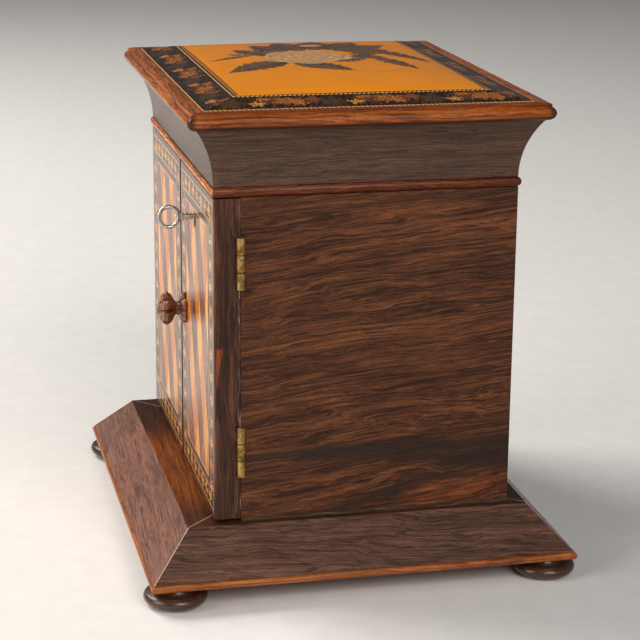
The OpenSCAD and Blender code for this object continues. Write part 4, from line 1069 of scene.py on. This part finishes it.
def pins(name, axis, radius, x_low, x_high, rng):
    """Hundreds of short pins standing out of the drum, a line of them under each tooth.

    Pin k stands at x = the tooth's place and at a random angle; its five sides are at
    angle + 2 pi i / 5 about its own axis, from inside the drum to 0.72 mm over it.
    """
    teeth = np.linspace(x_low, x_high, 42)
    x0 = rng.choice(teeth, pin_count)
    turn = rng.random(pin_count) * 2 * np.pi
    q = np.arange(pin_sides) * 2 * np.pi / pin_sides
    thin = 0.22 * MM
    side_x = x0[:, None, None] + thin * np.cos(q)[None, None, :]
    side_t = thin * np.sin(q)[None, None, :]
    reach = np.array([radius - 0.2 * MM, radius + 0.72 * MM])[None, :, None]
    c, s = np.cos(turn)[:, None, None], np.sin(turn)[:, None, None]
    y, z = axis.y + reach * c - side_t * s, axis.z + reach * s + side_t * c
    points = np.stack([side_x + 0 * reach, y, z], 3).reshape(-1, 3)
    k = np.arange(pin_count)[:, None] * 2 * pin_sides
    i = np.arange(pin_sides)
    j = (i + 1) % pin_sides
    sides_of = np.stack([k + i, k + pin_sides + i, k + pin_sides + j, k + j], 2).reshape(-1, 4)
    caps = [k + i, (k + pin_sides + i)[:, ::-1]]
    return surface(name, points, sides_of.tolist() + caps[0].tolist() + caps[1].tolist(), sharp=30)


drum_pins = pins("cylinder_pins", drum_axis, drum_r, comb_box[0].x + 1 * MM,
                 comb_box[1].x - 1 * MM, np.random.default_rng(5))
fit(drum_pins, bright_steel, "pinned_cylinder", "steel")

# ---------------------------------------------------------------------------
# Studio: a flat pale floor, three soft lights and the camera.

floor_mesh = bpy.data.meshes.new("studio_floor")
reach = 6.0
floor_mesh.from_pydata([(-reach, -reach, 0), (reach, -reach, 0), (reach, reach, 0),
                        (-reach, reach, 0)], [], [(0, 1, 2, 3)])
floor = bpy.data.objects.new("studio_floor", floor_mesh)
bpy.context.scene.collection.objects.link(floor)
paper = Finish("pale_paper")
grain = paper.noise(paper.coordinates("Object"), (60, 60, 60), 3.0)
floor.data.materials.append(paper.polish(
    paper.ramp(grain, [(0.3, (0.74, 0.735, 0.725)), (0.7, (0.78, 0.775, 0.765))]), 0.75))


def softbox(name, at, size, watts, colour):
    """A square soft light at a place, turned to the middle of the cabinet."""
    lamp = bpy.data.lights.new(name, "AREA")
    lamp.shape, lamp.size, lamp.size_y = "RECTANGLE", size, size
    lamp.energy, lamp.color = watts, colour
    box = bpy.data.objects.new(name, lamp)
    bpy.context.scene.collection.objects.link(box)
    box.location = at
    box.rotation_euler = (Vector((0, 0, 0.15)) - Vector(at)).to_track_quat("-Z", "Y").to_euler()


softbox("over_left", (-1.3, -1.5, 1.9), 1.5, 72, (1.0, 0.95, 0.88))
softbox("front_side", (0.7, -2.0, 0.9), 1.2, 25, (1.0, 0.94, 0.86))
softbox("right_side", (2.2, 0.4, 1.5), 1.4, 42, (1.0, 0.95, 0.9))

world = bpy.data.worlds.new("studio")
world.use_nodes = True
sky = world.node_tree.nodes["Background"].inputs
sky["Color"].default_value, sky["Strength"].default_value = (0.92, 0.94, 1.0, 1), 0.1
bpy.context.scene.world = world

eye, aim, roll = Vector((1232.8, -284.2, 494.7)) * MM, Vector((4.6, 3.0, 136.45)) * MM, 0.01
look = (aim - eye).normalized()
right = look.cross(Vector((0, 0, 1))).normalized()
up = right.cross(look)
lean, upright = math.sin(roll), math.cos(roll)
right, up = right * upright + up * lean, up * upright - right * lean
lens = bpy.data.cameras.new("camera")
lens.lens, lens.sensor_width, lens.clip_start = 111.43, 36, 0.05
lens.shift_x, lens.shift_y = -0.0036, -0.0037
camera = bpy.data.objects.new("camera", lens)
bpy.context.scene.collection.objects.link(camera)
camera.matrix_world = Matrix((right, up, -look)).transposed().to_4x4()
camera.location = eye
bpy.context.scene.camera = camera
bpy.context.scene.view_settings.view_transform = "Standard"
